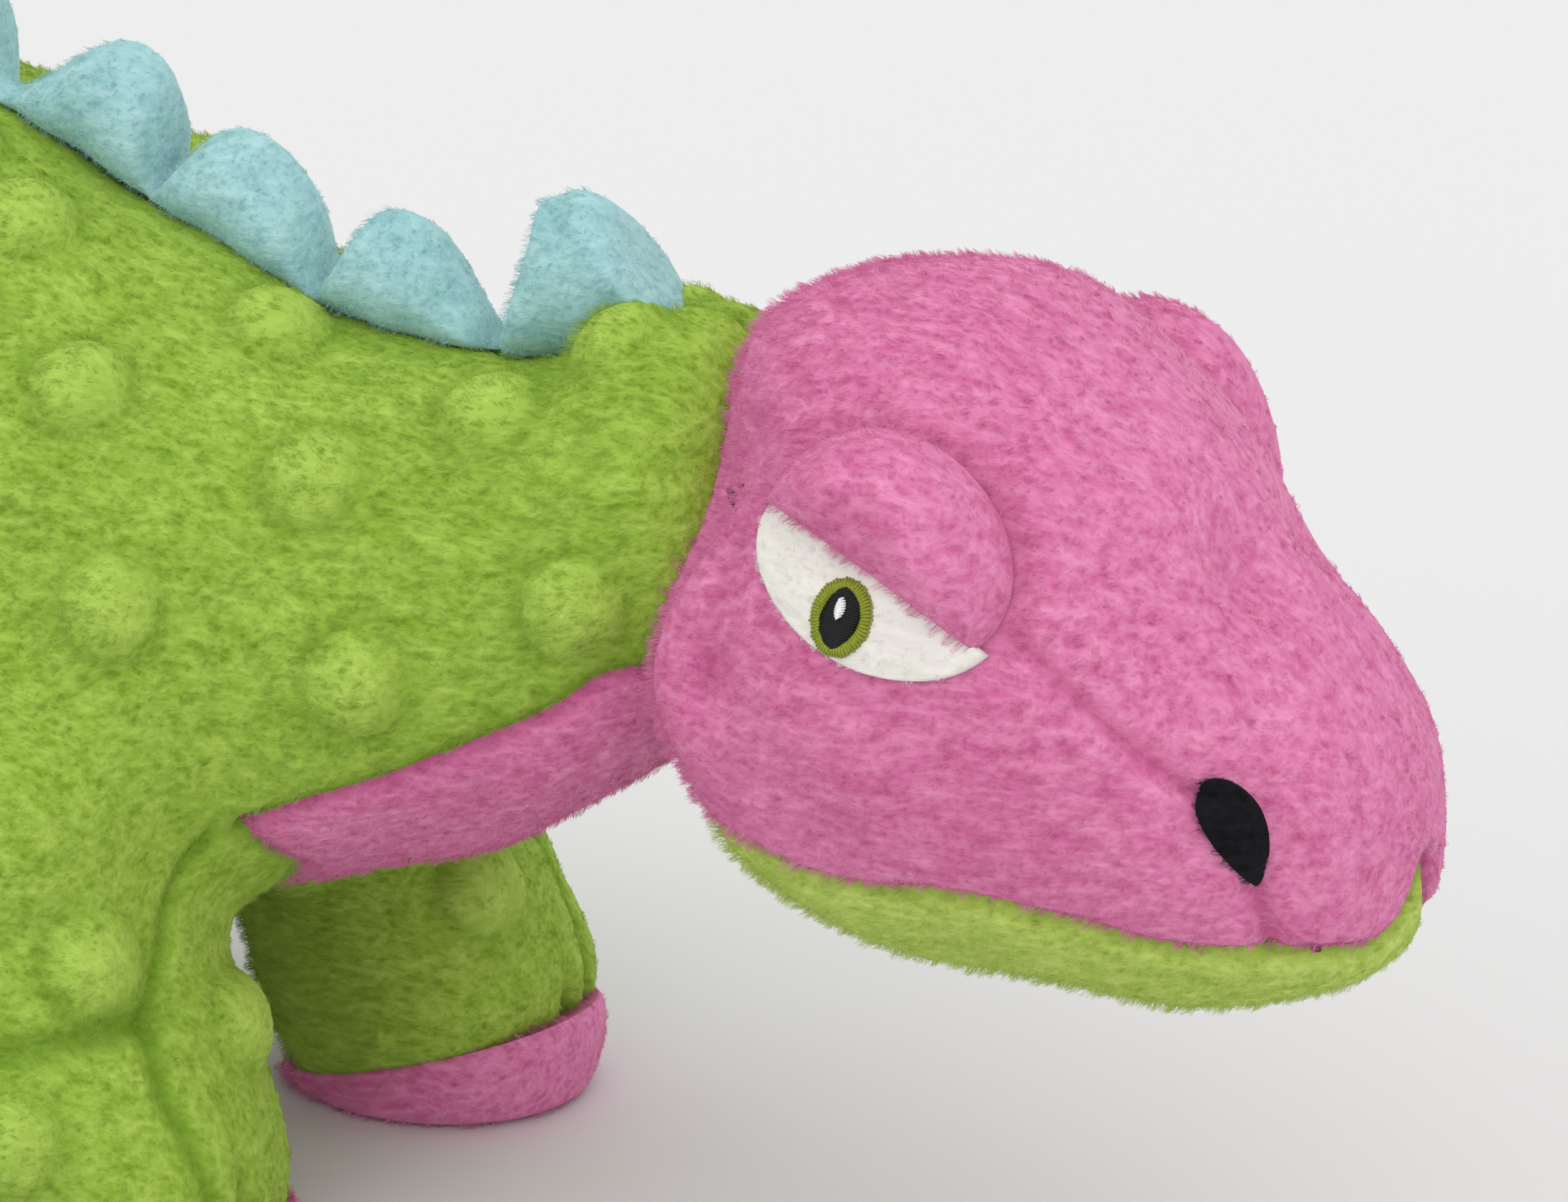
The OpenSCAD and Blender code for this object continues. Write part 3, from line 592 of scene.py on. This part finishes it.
def pile_cloth(name, deep, mid, tips, nap_length=1.0, fuzz=0.45, rise=0.55):
    """Short pile cloth. The pile lies in tufts along a direction that wanders over the
    toy; tuft tips are lighter than the shade between them, painted shade darkens the seams,
    creases, dents and dot rims, and a painted highlight lightens the raised dots."""
    material, tree, shader = new_material(name)
    start = Yarn(tree)
    place = start.node("ShaderNodeTexCoord", out=3)
    wander = start.node("ShaderNodeTexNoise", {"noise_dimensions": "3D"},
                        {"Vector": place, "Scale": 55.0, "Detail": 2.0}, 1)
    drift = start.node("ShaderNodeVectorMath", {"operation": "SCALE"}, {0: wander, "Scale": 0.006})
    bent = start.node("ShaderNodeVectorMath", {"operation": "ADD"}, {0: place, 1: drift})
    laid = start.node("ShaderNodeMapping", {},
                      {"Vector": bent, "Rotation": (0.15, 0.62, 0.2),
                       "Scale": (0.22 / nap_length, 1.0, 1.0)})
    tufts = start.node("ShaderNodeTexNoise", {}, {"Vector": laid, "Scale": 860.0, "Detail": 3.0,
                                                  "Roughness": 0.6})
    clumps = start.node("ShaderNodeTexNoise", {}, {"Vector": laid, "Scale": 330.0, "Detail": 2.0})
    patches = start.node("ShaderNodeTexNoise", {}, {"Vector": place, "Scale": 38.0, "Detail": 3.0})
    # Painted highlight: the raised mark lightens the dots towards the tip colour. Painted shade: the seam
    # mark darkens seams, creases, dents and dot rims towards the deep colour.
    raised_highlight_mark = start.node("ShaderNodeAttribute", {"attribute_name": "raised"}, out=2)
    seam_shade_mark = start.node("ShaderNodeAttribute", {"attribute_name": "seam"}, out=2)
    pile = tufts * 0.66 + clumps * 0.34
    tone = start.node("ShaderNodeMapRange", {"clamp": True},
                      {"Value": pile, "From Min": 0.33, "From Max": 0.67}, 0)
    low = tone.blend(deep, tips)
    base = start.node("ShaderNodeMix", {"data_type": "RGBA"}, {0: 0.48, 6: low, 7: mid}, 2)
    patch_share = start.node("ShaderNodeMapRange", {"clamp": True},
                             {"Value": patches, "From Min": 0.3, "From Max": 0.7,
                              "To Min": 0.0, "To Max": 0.16}, 0)
    worn = patch_share.blend(base, deep)
    # Painted highlight on the raised dots, then painted shade along seams and creases.
    lit = (raised_highlight_mark * 0.35).blend(worn, tips)
    final = (seam_shade_mark * 0.75).blend(lit, deep)
    tree.links.new(final.socket, shader.inputs["Base Color"])
    rough = tone * -0.12 + 0.92
    tree.links.new(rough.socket, shader.inputs["Roughness"])
    bump = start.node("ShaderNodeBump", {}, {"Height": pile, "Strength": rise, "Distance": 0.0012})
    tree.links.new(bump.socket, shader.inputs["Normal"])
    shader.inputs["Specular IOR Level"].default_value = 0.15
    shader.inputs["Sheen Weight"].default_value = fuzz
    shader.inputs["Sheen Roughness"].default_value = 0.45
    shader.inputs["Sheen Tint"].default_value = tips
    return material


green_plush = pile_cloth("green_plush", rgb(96, 132, 26), rgb(136, 168, 50), rgb(186, 212, 104))
pink_plush = pile_cloth("pink_plush", rgb(178, 74, 126), rgb(203, 106, 153), rgb(238, 168, 204))

# The marks the covers carry to their material: the dots' height also sets their painted highlight, and the
# seam mark is painted shade.
skin_marks = {"raised": raised, "seam": seam}
middle = skin_points[skin_triangles].mean(1)
tri_depth = depth[skin_triangles].mean(1)
tri_leg = which_leg[skin_triangles[:, 0]]
tri_pink = gap[skin_triangles].mean(1) > 0
cover_thick = 2.2

blend_ends = {"trunk": None, "tail": (("body", "tail"), (-117.0, -142.0)),
              "neck_root": (("body", "neck"), (50.0, 73.0)), "nape": (("neck", "head"), (76.0, 95.0))}
bands = {"nape": (neck_cut_x, 200.0), "neck_root": (neck_root_x, neck_cut_x),
         "trunk": (tail_root_x, neck_root_x), "tail": (-200.0, tail_root_x)}
stands_for = {("trunk", 0): ("torso_panel_right", "torso_panel_left", "torso_filling"),
              ("trunk", 1): ("belly_gusset",),
              ("tail", 0): ("tail_panel_right", "tail_panel_left", "tail_filling"),
              ("neck_root", 0): ("neck_panel_right", "neck_filling"), ("nape", 0): ("neck_panel_left",),
              ("neck_root", 1): ("throat_gusset",)}
for band, (low_x, high_x) in bands.items():
    inside = (middle[:, 0] > low_x) & (middle[:, 0] < high_x) & (tri_depth < 0)
    for pink in (0, 1):
        keep = inside & (tri_pink == bool(pink))
        cover = cut_piece(band + ("_gusset" if pink else "_cover"), skin_points, skin_triangles,
                          skin_normals, keep, cover_thick, skin_marks)
        cover.data.materials.append(pink_plush if pink else green_plush)
        if (band, pink) in stands_for:
            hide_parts(*stands_for[(band, pink)])
        if blend_ends[band] is None:
            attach(cover, "body")
        else:
            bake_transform(cover)

for number, (leg, (hip_x, side, radius)) in enumerate(legs.items()):
    keep = (tri_depth > -8.0) & (tri_leg == number) & (middle[:, 1] * side > 0)
    tuck = np.clip(-depth / 2.5, 0, 1)
    tucked = skin_points - skin_normals * (2.7 * tuck * tuck * (3 - 2 * tuck))[:, None]
    cover = cut_piece(leg + "_leg_cover", tucked, skin_triangles, skin_normals, keep, cover_thick,
                      skin_marks)
    cover.data.materials.append(green_plush)
    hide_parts(leg + "_leg_outer", leg + "_leg_inner", leg + "_filling")
    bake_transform(cover)

# ---- Soles ----
# Each foot stands on a flat padded sole of the smooth pink plush, sewn round its edge to the
# bottom of the leg; at the toe the sole curls up and shows.

sole_rows = np.array([(0.30, 5.0, 1.0), (0.86, 7.6, 6.1), (0.94, 8.0, 6.6), (0.975, 6.7, 5.6),
                      (0.965, 4.2, 3.6), (0.92, 1.7, 1.5), (0.80, 0.0, 0.2), (0.25, 0.0, 0.0)])
foot = leg_rows[-2]
for leg, (hip_x, side, radius) in legs.items():
    ring = through(sole_rows, np.linspace(0, len(sole_rows) - 1, 36))[:, None, :]
    turn = -np.linspace(0, 2 * np.pi, 96, endpoint=False)[None, :]
    sole_z = np.maximum(ring[..., 1] + ring[..., 2] * foot_lift(hip_x, side, turn), 0.0)
    sole_points = np.stack([hip_x + foot[1] + foot[2] * ring[..., 0] * radius * np.cos(turn),
                            side * hip_y + foot[3] * ring[..., 0] * radius * np.sin(turn),
                            sole_z], -1)
    points, faces = closed_tube(sole_points)
    sole = new_mesh(leg + "_sole_pad", points, faces)
    sole.data.materials.append(pink_plush)
    nap(sole)
    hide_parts(leg + "_sole")
    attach(sole, leg + "_leg")

# ---- Ridge ----
# A row of blunt teeth of blue fleece, each cut double and lightly stuffed, set into the seam
# along the back, with one tooth on the neck and two on the tail.


def ridge_height(x, teeth):
    """Height of the ridge over the seam at x: one less the distance from the middle of a
    tooth, raised to blunt, all raised to 1.35; lean bends the middle forwards or back."""
    height = np.full(len(x), 2.6)
    for rear, front, tall, lean, blunt in teeth:
        s = np.clip((x - rear) / (front - rear), 0, 1) ** lean
        shape = np.clip(1 - np.abs(2 * s - 1) ** blunt, 0, 1) ** 1.35
        height = np.maximum(height, 2.6 + (tall - 2.6) * shape)
    return height


def ridge_piece(name, teeth, material):
    """A padded crest: x along the seam and an angle around a section that is wide at its
    foot and rounded at its top; full teeth are thicker than the low stretches."""
    rear, front = teeth[-1][0], teeth[0][1]
    x = np.linspace(rear, front, int((front - rear) / 0.8))
    height = ridge_height(x, teeth)
    ends = np.clip(np.minimum(x - rear, front - x) / 1.6, 0, 1) ** 0.5
    height = 0.4 + (height - 0.4) * ends
    t = spine_place(x)
    row, ahead, behind = through(spine, t), through(spine, t - 0.03), through(spine, t + 0.03)
    run = np.stack([ahead[:, 0] - behind[:, 0], ahead[:, 1] - behind[:, 1]], -1)
    run /= np.linalg.norm(run, axis=1)[:, None]
    turn = np.linspace(0, 2 * np.pi, 48, endpoint=False)[None, :]
    reach = 0.5 - 0.5 * np.cos(turn)
    up = height[:, None] * reach - 1.2
    full = (2.6 + 3.2 * np.clip(height / 14.0, 0, 1))[:, None]
    across = full * ends[:, None] * np.sin(turn) * (1.22 - 0.55 * reach + 0.25 * np.sin(np.pi * reach))
    quilt = 0.35 * np.sin(x * 0.55 + 1.0)[:, None] * np.sin(turn * 2.0)
    rings = np.stack([x[:, None] - run[:, 1:] * up, across + quilt * ends[:, None],
                      row[:, 1:2] + run[:, :1] * up], -1)
    points, faces = closed_tube(rings)
    crest = new_mesh(name, points, faces)
    crest.data.materials.append(material)
    nap(crest, length=0.9, per_square=3.0)
    return crest


blue_fleece = pile_cloth("blue_fleece", rgb(112, 162, 164), rgb(144, 188, 190), rgb(186, 218, 220),
                         nap_length=0.7, fuzz=0.6, rise=0.45)
neck_tooth = ridge_piece("neck_tooth", [(52.6, 79.5, 21.0, 1.3, 4.6)], blue_fleece)
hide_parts("ridge_neck")
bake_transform(neck_tooth)

back_teeth = [(24.0, 51.0, 16.5, 0.74, 2.6), (-3.4, 24.0, 16.5, 0.80, 2.7),
              (-32.0, -3.4, 18.5, 1.75, 2.8), (-59.0, -32.0, 18.0, 1.2, 3.0),
              (-86.0, -59.0, 17.0, 0.9, 3.0), (-113.0, -86.0, 15.5, 1.1, 2.8)]
back_ridge = ridge_piece("back_ridge", back_teeth, blue_fleece)
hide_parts("ridge_back")
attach(back_ridge, "body")

tail_ridge = ridge_piece("tail_ridge", [(-149.0, -130.5, 12.5, 1.0, 2.6), (-167.0, -149.0, 9.5, 1.0, 2.6)],
                         blue_fleece)
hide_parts("ridge_tail")
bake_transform(tail_ridge)

# ---- Head cover ----
# Four pieces of plush: a pink crown that runs down over the snout, two pink cheeks, and a
# green jaw, sewn together and stuffed hard, with a dart from each eye to the nostril.

# Rows: x and height of the top, x and height of the bottom, half width
head_rows = np.array([
    (86.0, 118.0, 88.5, 88.0, 15.0), (89.3, 128.0, 88.6, 77.5, 22.0), (94.4, 135.5, 91.2, 71.5, 28.5),
    (98.9, 141.0, 93.4, 69.5, 32.5), (108.4, 145.5, 97.2, 63.0, 36.0), (121.4, 146.8, 107.0, 58.0, 37.7),
    (134.4, 144.8, 119.6, 55.5, 37.8), (146.9, 139.0, 133.4, 54.8, 36.0), (158.4, 127.6, 146.9, 55.0, 32.0),
    (167.4, 115.8, 159.9, 55.5, 27.8), (175.4, 106.0, 171.5, 57.5, 22.6), (182.4, 97.0, 179.8, 61.5, 16.4),
    (186.2, 88.6, 184.8, 68.5, 9.2), (187.2, 81.0, 187.2, 79.0, 1.2)])
head_offset = 2.0
cheek_line = np.array([58, 59, 60, 61, 63, 66, 68, 70, 72.5, 77, 98, 122, 122, 122])
mouth_line = np.array([142, 143, 144, 144, 136, 131, 130, 124, 123, 124, 122.5, 127, 148, 160])


def head_point(t, a, out=0.0):
    """A point of the head's cover: on the leaning elliptic section at place t of the head's
    rows, at angle a in degrees from the top down the right side, moved out by out."""
    t, a = np.broadcast_arrays(np.asarray(t, float) + head_offset, np.asarray(a, float))
    row = through(head_rows, t)
    centre_x, centre_z = (row[..., 0] + row[..., 2]) / 2, (row[..., 1] + row[..., 3]) / 2
    rise_x, rise_z = (row[..., 0] - row[..., 2]) / 2, (row[..., 1] - row[..., 3]) / 2
    half = np.hypot(rise_x, rise_z)
    turn = np.radians(a)
    full = (half + out) * np.cos(turn) / half
    return np.stack([centre_x + rise_x * full, -(row[..., 4] + out) * np.sin(turn),
                     centre_z + rise_z * full], -1)


steps_t, crown_n, cheek_n, jaw_n = 168, 44, 34, 26
t_grid = np.linspace(-1.95, len(head_rows) - 1 - head_offset - 0.03, steps_t)
cheek_a, mouth_a = (through(line, t_grid + head_offset)[:, None] for line in (cheek_line, mouth_line))
half_a = np.concatenate([cheek_a * np.linspace(0, 1, crown_n, endpoint=False),
                         cheek_a + (mouth_a - cheek_a) * np.linspace(0, 1, cheek_n, endpoint=False),
                         mouth_a + (180 - mouth_a) * np.linspace(0, 1, jaw_n + 1)], 1)
a_grid = np.concatenate([half_a, 360 - half_a[:, -2:0:-1]], 1)
around_n = a_grid.shape[1]
head_points, head_faces = closed_tube(head_point(t_grid[:, None], a_grid))
head_quads = np.array(head_faces[:(steps_t - 1) * around_n])
caps = np.array(head_faces[(steps_t - 1) * around_n:])
head_triangles = np.concatenate([head_quads[:, [0, 1, 2]], head_quads[:, [0, 2, 3]], caps])
mirrored = head_points * (1, -1, 1)


def head_line(places):
    """Distance of every point of the head, on either side, from a line drawn through
    places (t, a) on the right side."""
    places = np.array(places, float)
    fine_places = through(places, np.linspace(0, len(places) - 1, 16 * len(places)))
    line = head_point(fine_places[:, 0], fine_places[:, 1])
    points = np.where(head_points[:, 1:2] < 0, head_points, mirrored)
    best = np.full(len(points), 1e9)
    for spot in line:
        best = np.minimum(best, np.linalg.norm(points - spot, axis=1))
    return best


def head_swell(t, a, width):
    """A soft round bump of 1 at the place (t, a) of each side, fading out over width."""
    points = np.where(head_points[:, 1:2] < 0, head_points, mirrored)
    return hollow(np.linalg.norm(points - head_point(t, a), axis=1), width)


dart = head_line([(5.25, 70.0), (5.8, 73.0), (6.42, 75.4), (7.3, 76.5)])
lid_turn = np.radians(np.linspace(4, 176, 14))
lid_forward, lid_up = 16.9 * np.cos(lid_turn) - 1.2, 14.8 * np.sin(lid_turn)
lid_forward, lid_up = (lid_forward * math.cos(-0.506) - lid_up * math.sin(-0.506),
                       lid_forward * math.sin(-0.506) + lid_up * math.cos(-0.506))
lid_edge = head_line(np.stack([3.81 + (lid_forward - 0.12 * lid_up) / 12.0,
                               69.0 - (lid_up + 0.26 * lid_forward) / 0.71], -1))
lip_seam = head_line([(8.04, 98.0), (8.12, 108.0), (8.18, 122.0)])
mouth_t = np.linspace(0.2, 10.9, 20)
mouth_seam = head_line(np.stack([mouth_t, through(mouth_line, mouth_t + head_offset)], -1))
temple = head_line([(1.95, 52.0), (2.15, 62.0), (2.05, 76.0), (1.9, 98.0)])
head_groove = (1.1 * hollow(dart, 1.3) + 1.4 * hollow(lip_seam, 1.5) + 1.7 * hollow(mouth_seam, 1.7)
               + 0.6 * hollow(temple, 4.0) + 1.7 * hollow(lid_edge, 3.2))
# Painted shade: darker colour along the dart, lip and mouth seams, the temple and the lid's edge, and in
# two dents.
head_seam_shade = np.clip(0.75 * hollow(dart, 1.1) + 0.7 * hollow(lip_seam, 1.0) + hollow(mouth_seam, 1.3)
                    + 0.35 * head_swell(1.9, 98.0, 4.5) + 0.25 * head_swell(6.9, 20.0, 6.0)
                    + 0.25 * hollow(temple, 2.5) + 0.3 * hollow(lid_edge, 1.8), 0, 1)
head_waves = sum(np.sin(head_points @ np.array(way) + turn) for way, turn in (
    ((0.13, 0.07, 0.10), 1.1), ((-0.09, 0.16, 0.12), 2.7), ((0.21, -0.10, 0.09), 0.4)))
# Swells and dips of the stuffing: height, place (t, a) and width
head_swells = ((-2.2, 0.9, 78.0, 22.0), (-0.7, 10.5, 80.0, 14.0), (-3.2, 1.9, 98.0, 6.0),
               (-2.5, 6.9, 20.0, 7.0), (2.2, 1.2, 104.0, 11.0), (1.6, 3.6, 100.0, 13.0),
               (2.0, 3.4, 34.0, 11.0), (1.2, 1.9, 20.0, 10.0), (-5.0, 0.4, 58.0, 15.0),
               (1.0, 8.6, 60.0, 9.0), (-1.0, 5.0, 20.0, 9.0), (-1.3, 7.6, 82.0, 8.0))
head_lift = (sum(height * head_swell(t, a, width) for height, t, a, width in head_swells)
             - 0.8 - head_groove + 0.30 * head_waves + random.normal(0.0, 0.08, len(head_points)))
head_lift *= np.clip((head_points[:, 0] - 86.0) / 6.0, 0, 1)
head_skin_normals = point_normals(head_points, head_triangles)
lift_rows = head_lift[:steps_t * around_n].reshape(steps_t, around_n)
lift_table = np.stack([np.interp(np.arange(181), a, lift) for a, lift in zip(a_grid, lift_rows)])
head_points = head_points + head_skin_normals * head_lift[:, None]
head_skin_normals = point_normals(head_points, head_triangles)

column = np.tile(np.arange(around_n), steps_t - 1)
column = np.minimum(column, around_n - 1 - column)
row_t = np.repeat((t_grid[:-1] + t_grid[1:]) / 2, around_n)
panel_of = np.where(column < crown_n, 0, np.where(column < crown_n + cheek_n, 1, 2))
panel_of = np.where((panel_of == 1) & (row_t > 8.1), 0, panel_of)
panel_of = np.concatenate([panel_of, panel_of, np.full(len(caps), 0)])
panel_of[-len(caps):-len(caps) // 2] = 2
head_middle = head_points[head_triangles].mean(1)
# The head's seam mark is painted shade.
head_marks = {"raised": np.zeros(len(head_points)), "seam": head_seam_shade}
green_smooth = pile_cloth("green_plush_smooth", rgb(128, 156, 50), rgb(170, 193, 88),
                          rgb(208, 222, 130))
for name, number, side, nodes, paint in (
        ("crown_cover", 0, 0, ("crown_gusset", "head_filling"), pink_plush),
        ("cheek_right_cover", 1, -1, ("cheek_right",), pink_plush),
        ("cheek_left_cover", 1, 1, ("cheek_left",), pink_plush),
        ("jaw_cover", 2, 0, ("jaw_panel",), green_smooth)):
    keep = (panel_of == number) & ((side == 0) | (head_middle[:, 1] * side > 0))
    cover = cut_piece(name, head_points, head_triangles, head_skin_normals, keep, cover_thick,
                      head_marks)
    cover.data.materials.append(paint)
    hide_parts(*nodes)
    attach(cover, "head")

# ---- Eyes ----
# A half moon of white felt is sewn flat to the cheek, and the eyelid, a stuffed half round of
# pink plush, is sewn over its upper edge so that the toy scowls. The iris, pupil and glint
# are satin stitches.

eye_spot, eye_grain = (3.81, 69.0), (12.0, 0.71, 0.26)
nostril_spot, nostril_grain = (7.68, 82.6), (10.0, 0.53, 0.41)
lid_slope = math.radians(-29.0)


def on_face(spot, grain, forward, up, side, out):
    """The point of the face that lies forward and up millimetres from a place, moved out of
    the cover; grain gives millimetres for a row, for a degree, and the fall of a line."""
    t = spot[0] + (forward - 0.12 * up) / grain[0]
    a = spot[1] - (up + grain[2] * forward) / grain[1]
    row = np.clip(np.interp(t, t_grid, np.arange(steps_t)), 0, steps_t - 1.001)
    turn = np.clip(a, 0, 179.0)
    i, j = row.astype(int), turn.astype(int)
    f, g = row - i, turn - j
    rise = ((1 - f) * ((1 - g) * lift_table[i, j] + g * lift_table[i, j + 1])
            + f * ((1 - g) * lift_table[i + 1, j] + g * lift_table[i + 1, j + 1]))
    return head_point(t, a, out + rise) * (1, -side, 1)


def sloped(forward, up):
    """Turns drawn points by the slope of the eyelid."""
    return (forward * math.cos(lid_slope) - up * math.sin(lid_slope),
            forward * math.sin(lid_slope) + up * math.cos(lid_slope))


def patch(name, side, spot, grain, outline, centre, low, edge, dome, power, material, node):
    """A closed patch of cloth on the face: its outline drawn round a centre, risen by edge
    at its rim and by dome more in the middle, with a rounded rim and a flat back at low."""
    forward, up = outline
    back = [1.0, 0.98, 0.8, 0.4, 0.03]
    share = np.concatenate([np.linspace(0.03, 0.9, 16), [0.95, 0.985, 1.0], back])[:, None]
    rim = len(share) - len(back) - 1
    rounded = (1 - share ** power) ** (1 / power)
    out = np.where(np.arange(len(share))[:, None] <= rim, low + (edge - low) * (rounded > 0)
                   + dome * rounded, low + 0 * share)
    out[rim] = (low + edge) / 2
    rings = on_face(spot, grain, centre[0] + (forward - centre[0]) * share,
                    centre[1] + (up - centre[1]) * share, side, out)
    points, faces = closed_tube(rings)
    piece = new_mesh(name, points, faces)
    piece.data.materials.append(material)
    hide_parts(node)
    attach(piece, "head")
    return piece


def half_oval(half_length, depth_up, chord_up=0.4):
    """Half an oval over a straight chord, drawn anticlockwise from its front corner."""
    turn = np.linspace(0, np.pi, 72)
    chord = np.linspace(-half_length, half_length, 34)[1:-1]
    return (np.concatenate([half_length * np.cos(turn), chord]),
            np.concatenate([chord_up + depth_up * np.sin(turn) ** 0.93, np.full(len(chord), chord_up)]))


felt_white = pile_cloth("white_felt", rgb(200, 197, 190), rgb(218, 215, 208), rgb(234, 232, 226),
                        nap_length=1.6, fuzz=0.3, rise=0.25)
felt_black = pile_cloth("black_felt", rgb(6, 6, 8), rgb(12, 12, 15), rgb(30, 30, 36),
                        nap_length=1.0, fuzz=0.25, rise=0.5)


def satin(name, tint, shade):
    """Satin stitches: glossy rayon whose strands show as fine darker lines."""
    material, tree, shader = new_material(name)
    place = Yarn(tree).node("ShaderNodeTexCoord", out=3)
    strand = place.node("ShaderNodeTexNoise", {}, {"Vector": place, "Scale": 2600.0, "Detail": 2.0})
    final = strand.blend(shade, tint)
    tree.links.new(final.socket, shader.inputs["Base Color"])
    bump = place.node("ShaderNodeBump", {}, {"Height": strand, "Strength": 0.3, "Distance": 0.0002})
    tree.links.new(bump.socket, shader.inputs["Normal"])
    shader.inputs["Roughness"].default_value = 0.5
    shader.inputs["Specular IOR Level"].default_value = 0.3
    return material


satin_olive = satin("olive_thread", rgb(154, 164, 44), rgb(92, 102, 18))
satin_black = satin("black_thread", rgb(11, 11, 13), rgb(3, 3, 4))
satin_white = satin("white_thread", rgb(250, 250, 250), rgb(205, 205, 205))


def stitches(name, side, starts, ends, thick, out, material, node):
    """Satin stitches as one mesh: each is a thin spindle laid in an arch from its start to
    its end, drawn on the face, all worked out at once as strands by steps by sides."""
    steps, sides = 9, 6
    u = np.linspace(0, 1, steps)[None, :, None]
    turn = np.linspace(0, 2 * np.pi, sides, endpoint=False)[None, None, :]
    run = ends - starts
    cross = np.stack([-run[:, 1], run[:, 0]], -1) / np.linalg.norm(run, axis=1)[:, None]
    thin = np.maximum(thick * np.sin(np.pi * (0.08 + 0.84 * u)) ** 0.35, 0.02)
    flat = (starts[:, None, None, :] + run[:, None, None, :] * u[..., None]
            + cross[:, None, None, :] * (thin * np.cos(turn))[..., None])
    height = out + 0.35 * np.sin(np.pi * u) + thin * (1.0 + np.sin(turn))
    rings = on_face(eye_spot, eye_grain, flat[..., 0], flat[..., 1], side, height)
    points, faces = [], []
    for ring_set in rings:
        strand_points, strand_faces = closed_tube(ring_set)
        offset = sum(len(p) for p in points)
        points.append(strand_points)
        faces += [tuple(v + offset for v in f) for f in strand_faces]
    piece = new_mesh(name, np.concatenate(points), faces)
    piece.data.materials.append(material)
    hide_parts(node)
    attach(piece, "head")


iris_at = np.array([-1.7, -6.0])
for side, word in ((-1, "right"), (1, "left")):
    moon = half_oval(16.0, 10.2)
    white = patch("felt_eye_" + word, side, eye_spot, eye_grain,
                  sloped(moon[0][::-1], -moon[1][::-1]), sloped(0.0, -4.0),
                  0.05, 1.1, 0.7, 3.0, felt_white, "eye_white_" + word)
    reach, arch, full, ahead = (16.0, 14.4, 7.8, -1.2) if side < 0 else (19.5, 21.5, 15.0, 3.0)
    forward, up = half_oval(reach, arch)
    lid_outline = sloped(forward + ahead, np.where(up > 0.41, up, -0.9))
    lid = patch("lid_" + word, side, eye_spot, eye_grain, lid_outline, sloped(ahead, 6.5),
                0.05, 0.6, full, 1.6, pink_plush, "eyelid_" + word)
    nap(lid)
    nap(white, length=0.5, per_square=2.5)
    turn = np.linspace(0, 2 * np.pi, 60, endpoint=False)[:, None]
    oval = np.concatenate([np.cos(turn), np.sin(turn)], 1)
    loose = random.uniform(0.97, 1.03, (60, 1))
    stitches("iris_ring_" + word, side, iris_at + oval * (2.1, 2.5),
             iris_at + oval * (3.7, 4.3) * loose, 0.21, 1.70, satin_olive, "iris_" + word)
    stitch_y = np.linspace(-3.0, 3.0, 23)[:, None]
    half = 2.5 * np.sqrt(1 - (stitch_y / 3.2) ** 2) * random.uniform(0.94, 1.06, (23, 1))
    tilt = 0.35 * half
    stitches("pupil_satin_" + word, side, iris_at + np.concatenate([-half, stitch_y - tilt], 1),
             iris_at + np.concatenate([half, stitch_y + tilt], 1), 0.19, 1.95, satin_black,
             "pupil_" + word)
    stitch_y = np.linspace(-0.95, 0.95, 8)[:, None]
    half = 0.62 * np.sqrt(1 - (stitch_y / 1.1) ** 2)
    glint_at = iris_at + (0.1, 1.0)
    stitches("glint_satin_" + word, side, glint_at + np.concatenate([-half, stitch_y - 0.2], 1),
             glint_at + np.concatenate([half, stitch_y + 0.2], 1), 0.15, 2.55, satin_white,
             "glint_" + word)

# ---- Nostrils ----
# Teardrops of black plush sewn on where the dart ends, their tips towards the mouth.

for side, word in ((-1, "right"), (1, "left")):
    turn = np.linspace(0, 2 * np.pi, 96, endpoint=False)
    lean = 7.5 * np.sin(turn)
    drop = 4.7 * np.cos(turn) * np.sqrt((1.02 + np.sin(turn)) / 2) - 0.25 * lean, lean
    nostril = patch("nostril_patch_" + word, side, nostril_spot, nostril_grain, drop,
                    (0.3, -0.6), -0.6, 0.65, 0.6, 3.0, felt_black, "nostril_" + word)
    nap(nostril, length=0.7, per_square=5.0)

# ---- Squeaker ----
# A moulded squeaker lies loose in the stuffing of the trunk: a bellows with a reed on top.

moulded, moulded_tree, moulded_shader = new_material("squeaker_plastic")
grain_place = Yarn(moulded_tree).node("ShaderNodeTexCoord", out=3)
grain = grain_place.node("ShaderNodeTexNoise", {},
                         {"Vector": grain_place, "Scale": 900.0, "Detail": 3.0})
moulded_tree.links.new(grain.blend(rgb(226, 226, 220), rgb(244, 244, 240)).socket,
                       moulded_shader.inputs["Base Color"])
moulded_shader.inputs["Roughness"].default_value = 0.45
for node in ("squeaker_bellows", "squeaker_reed"):
    piece = bpy.data.objects[node]
    piece.data.materials.clear()
    piece.data.materials.append(moulded)
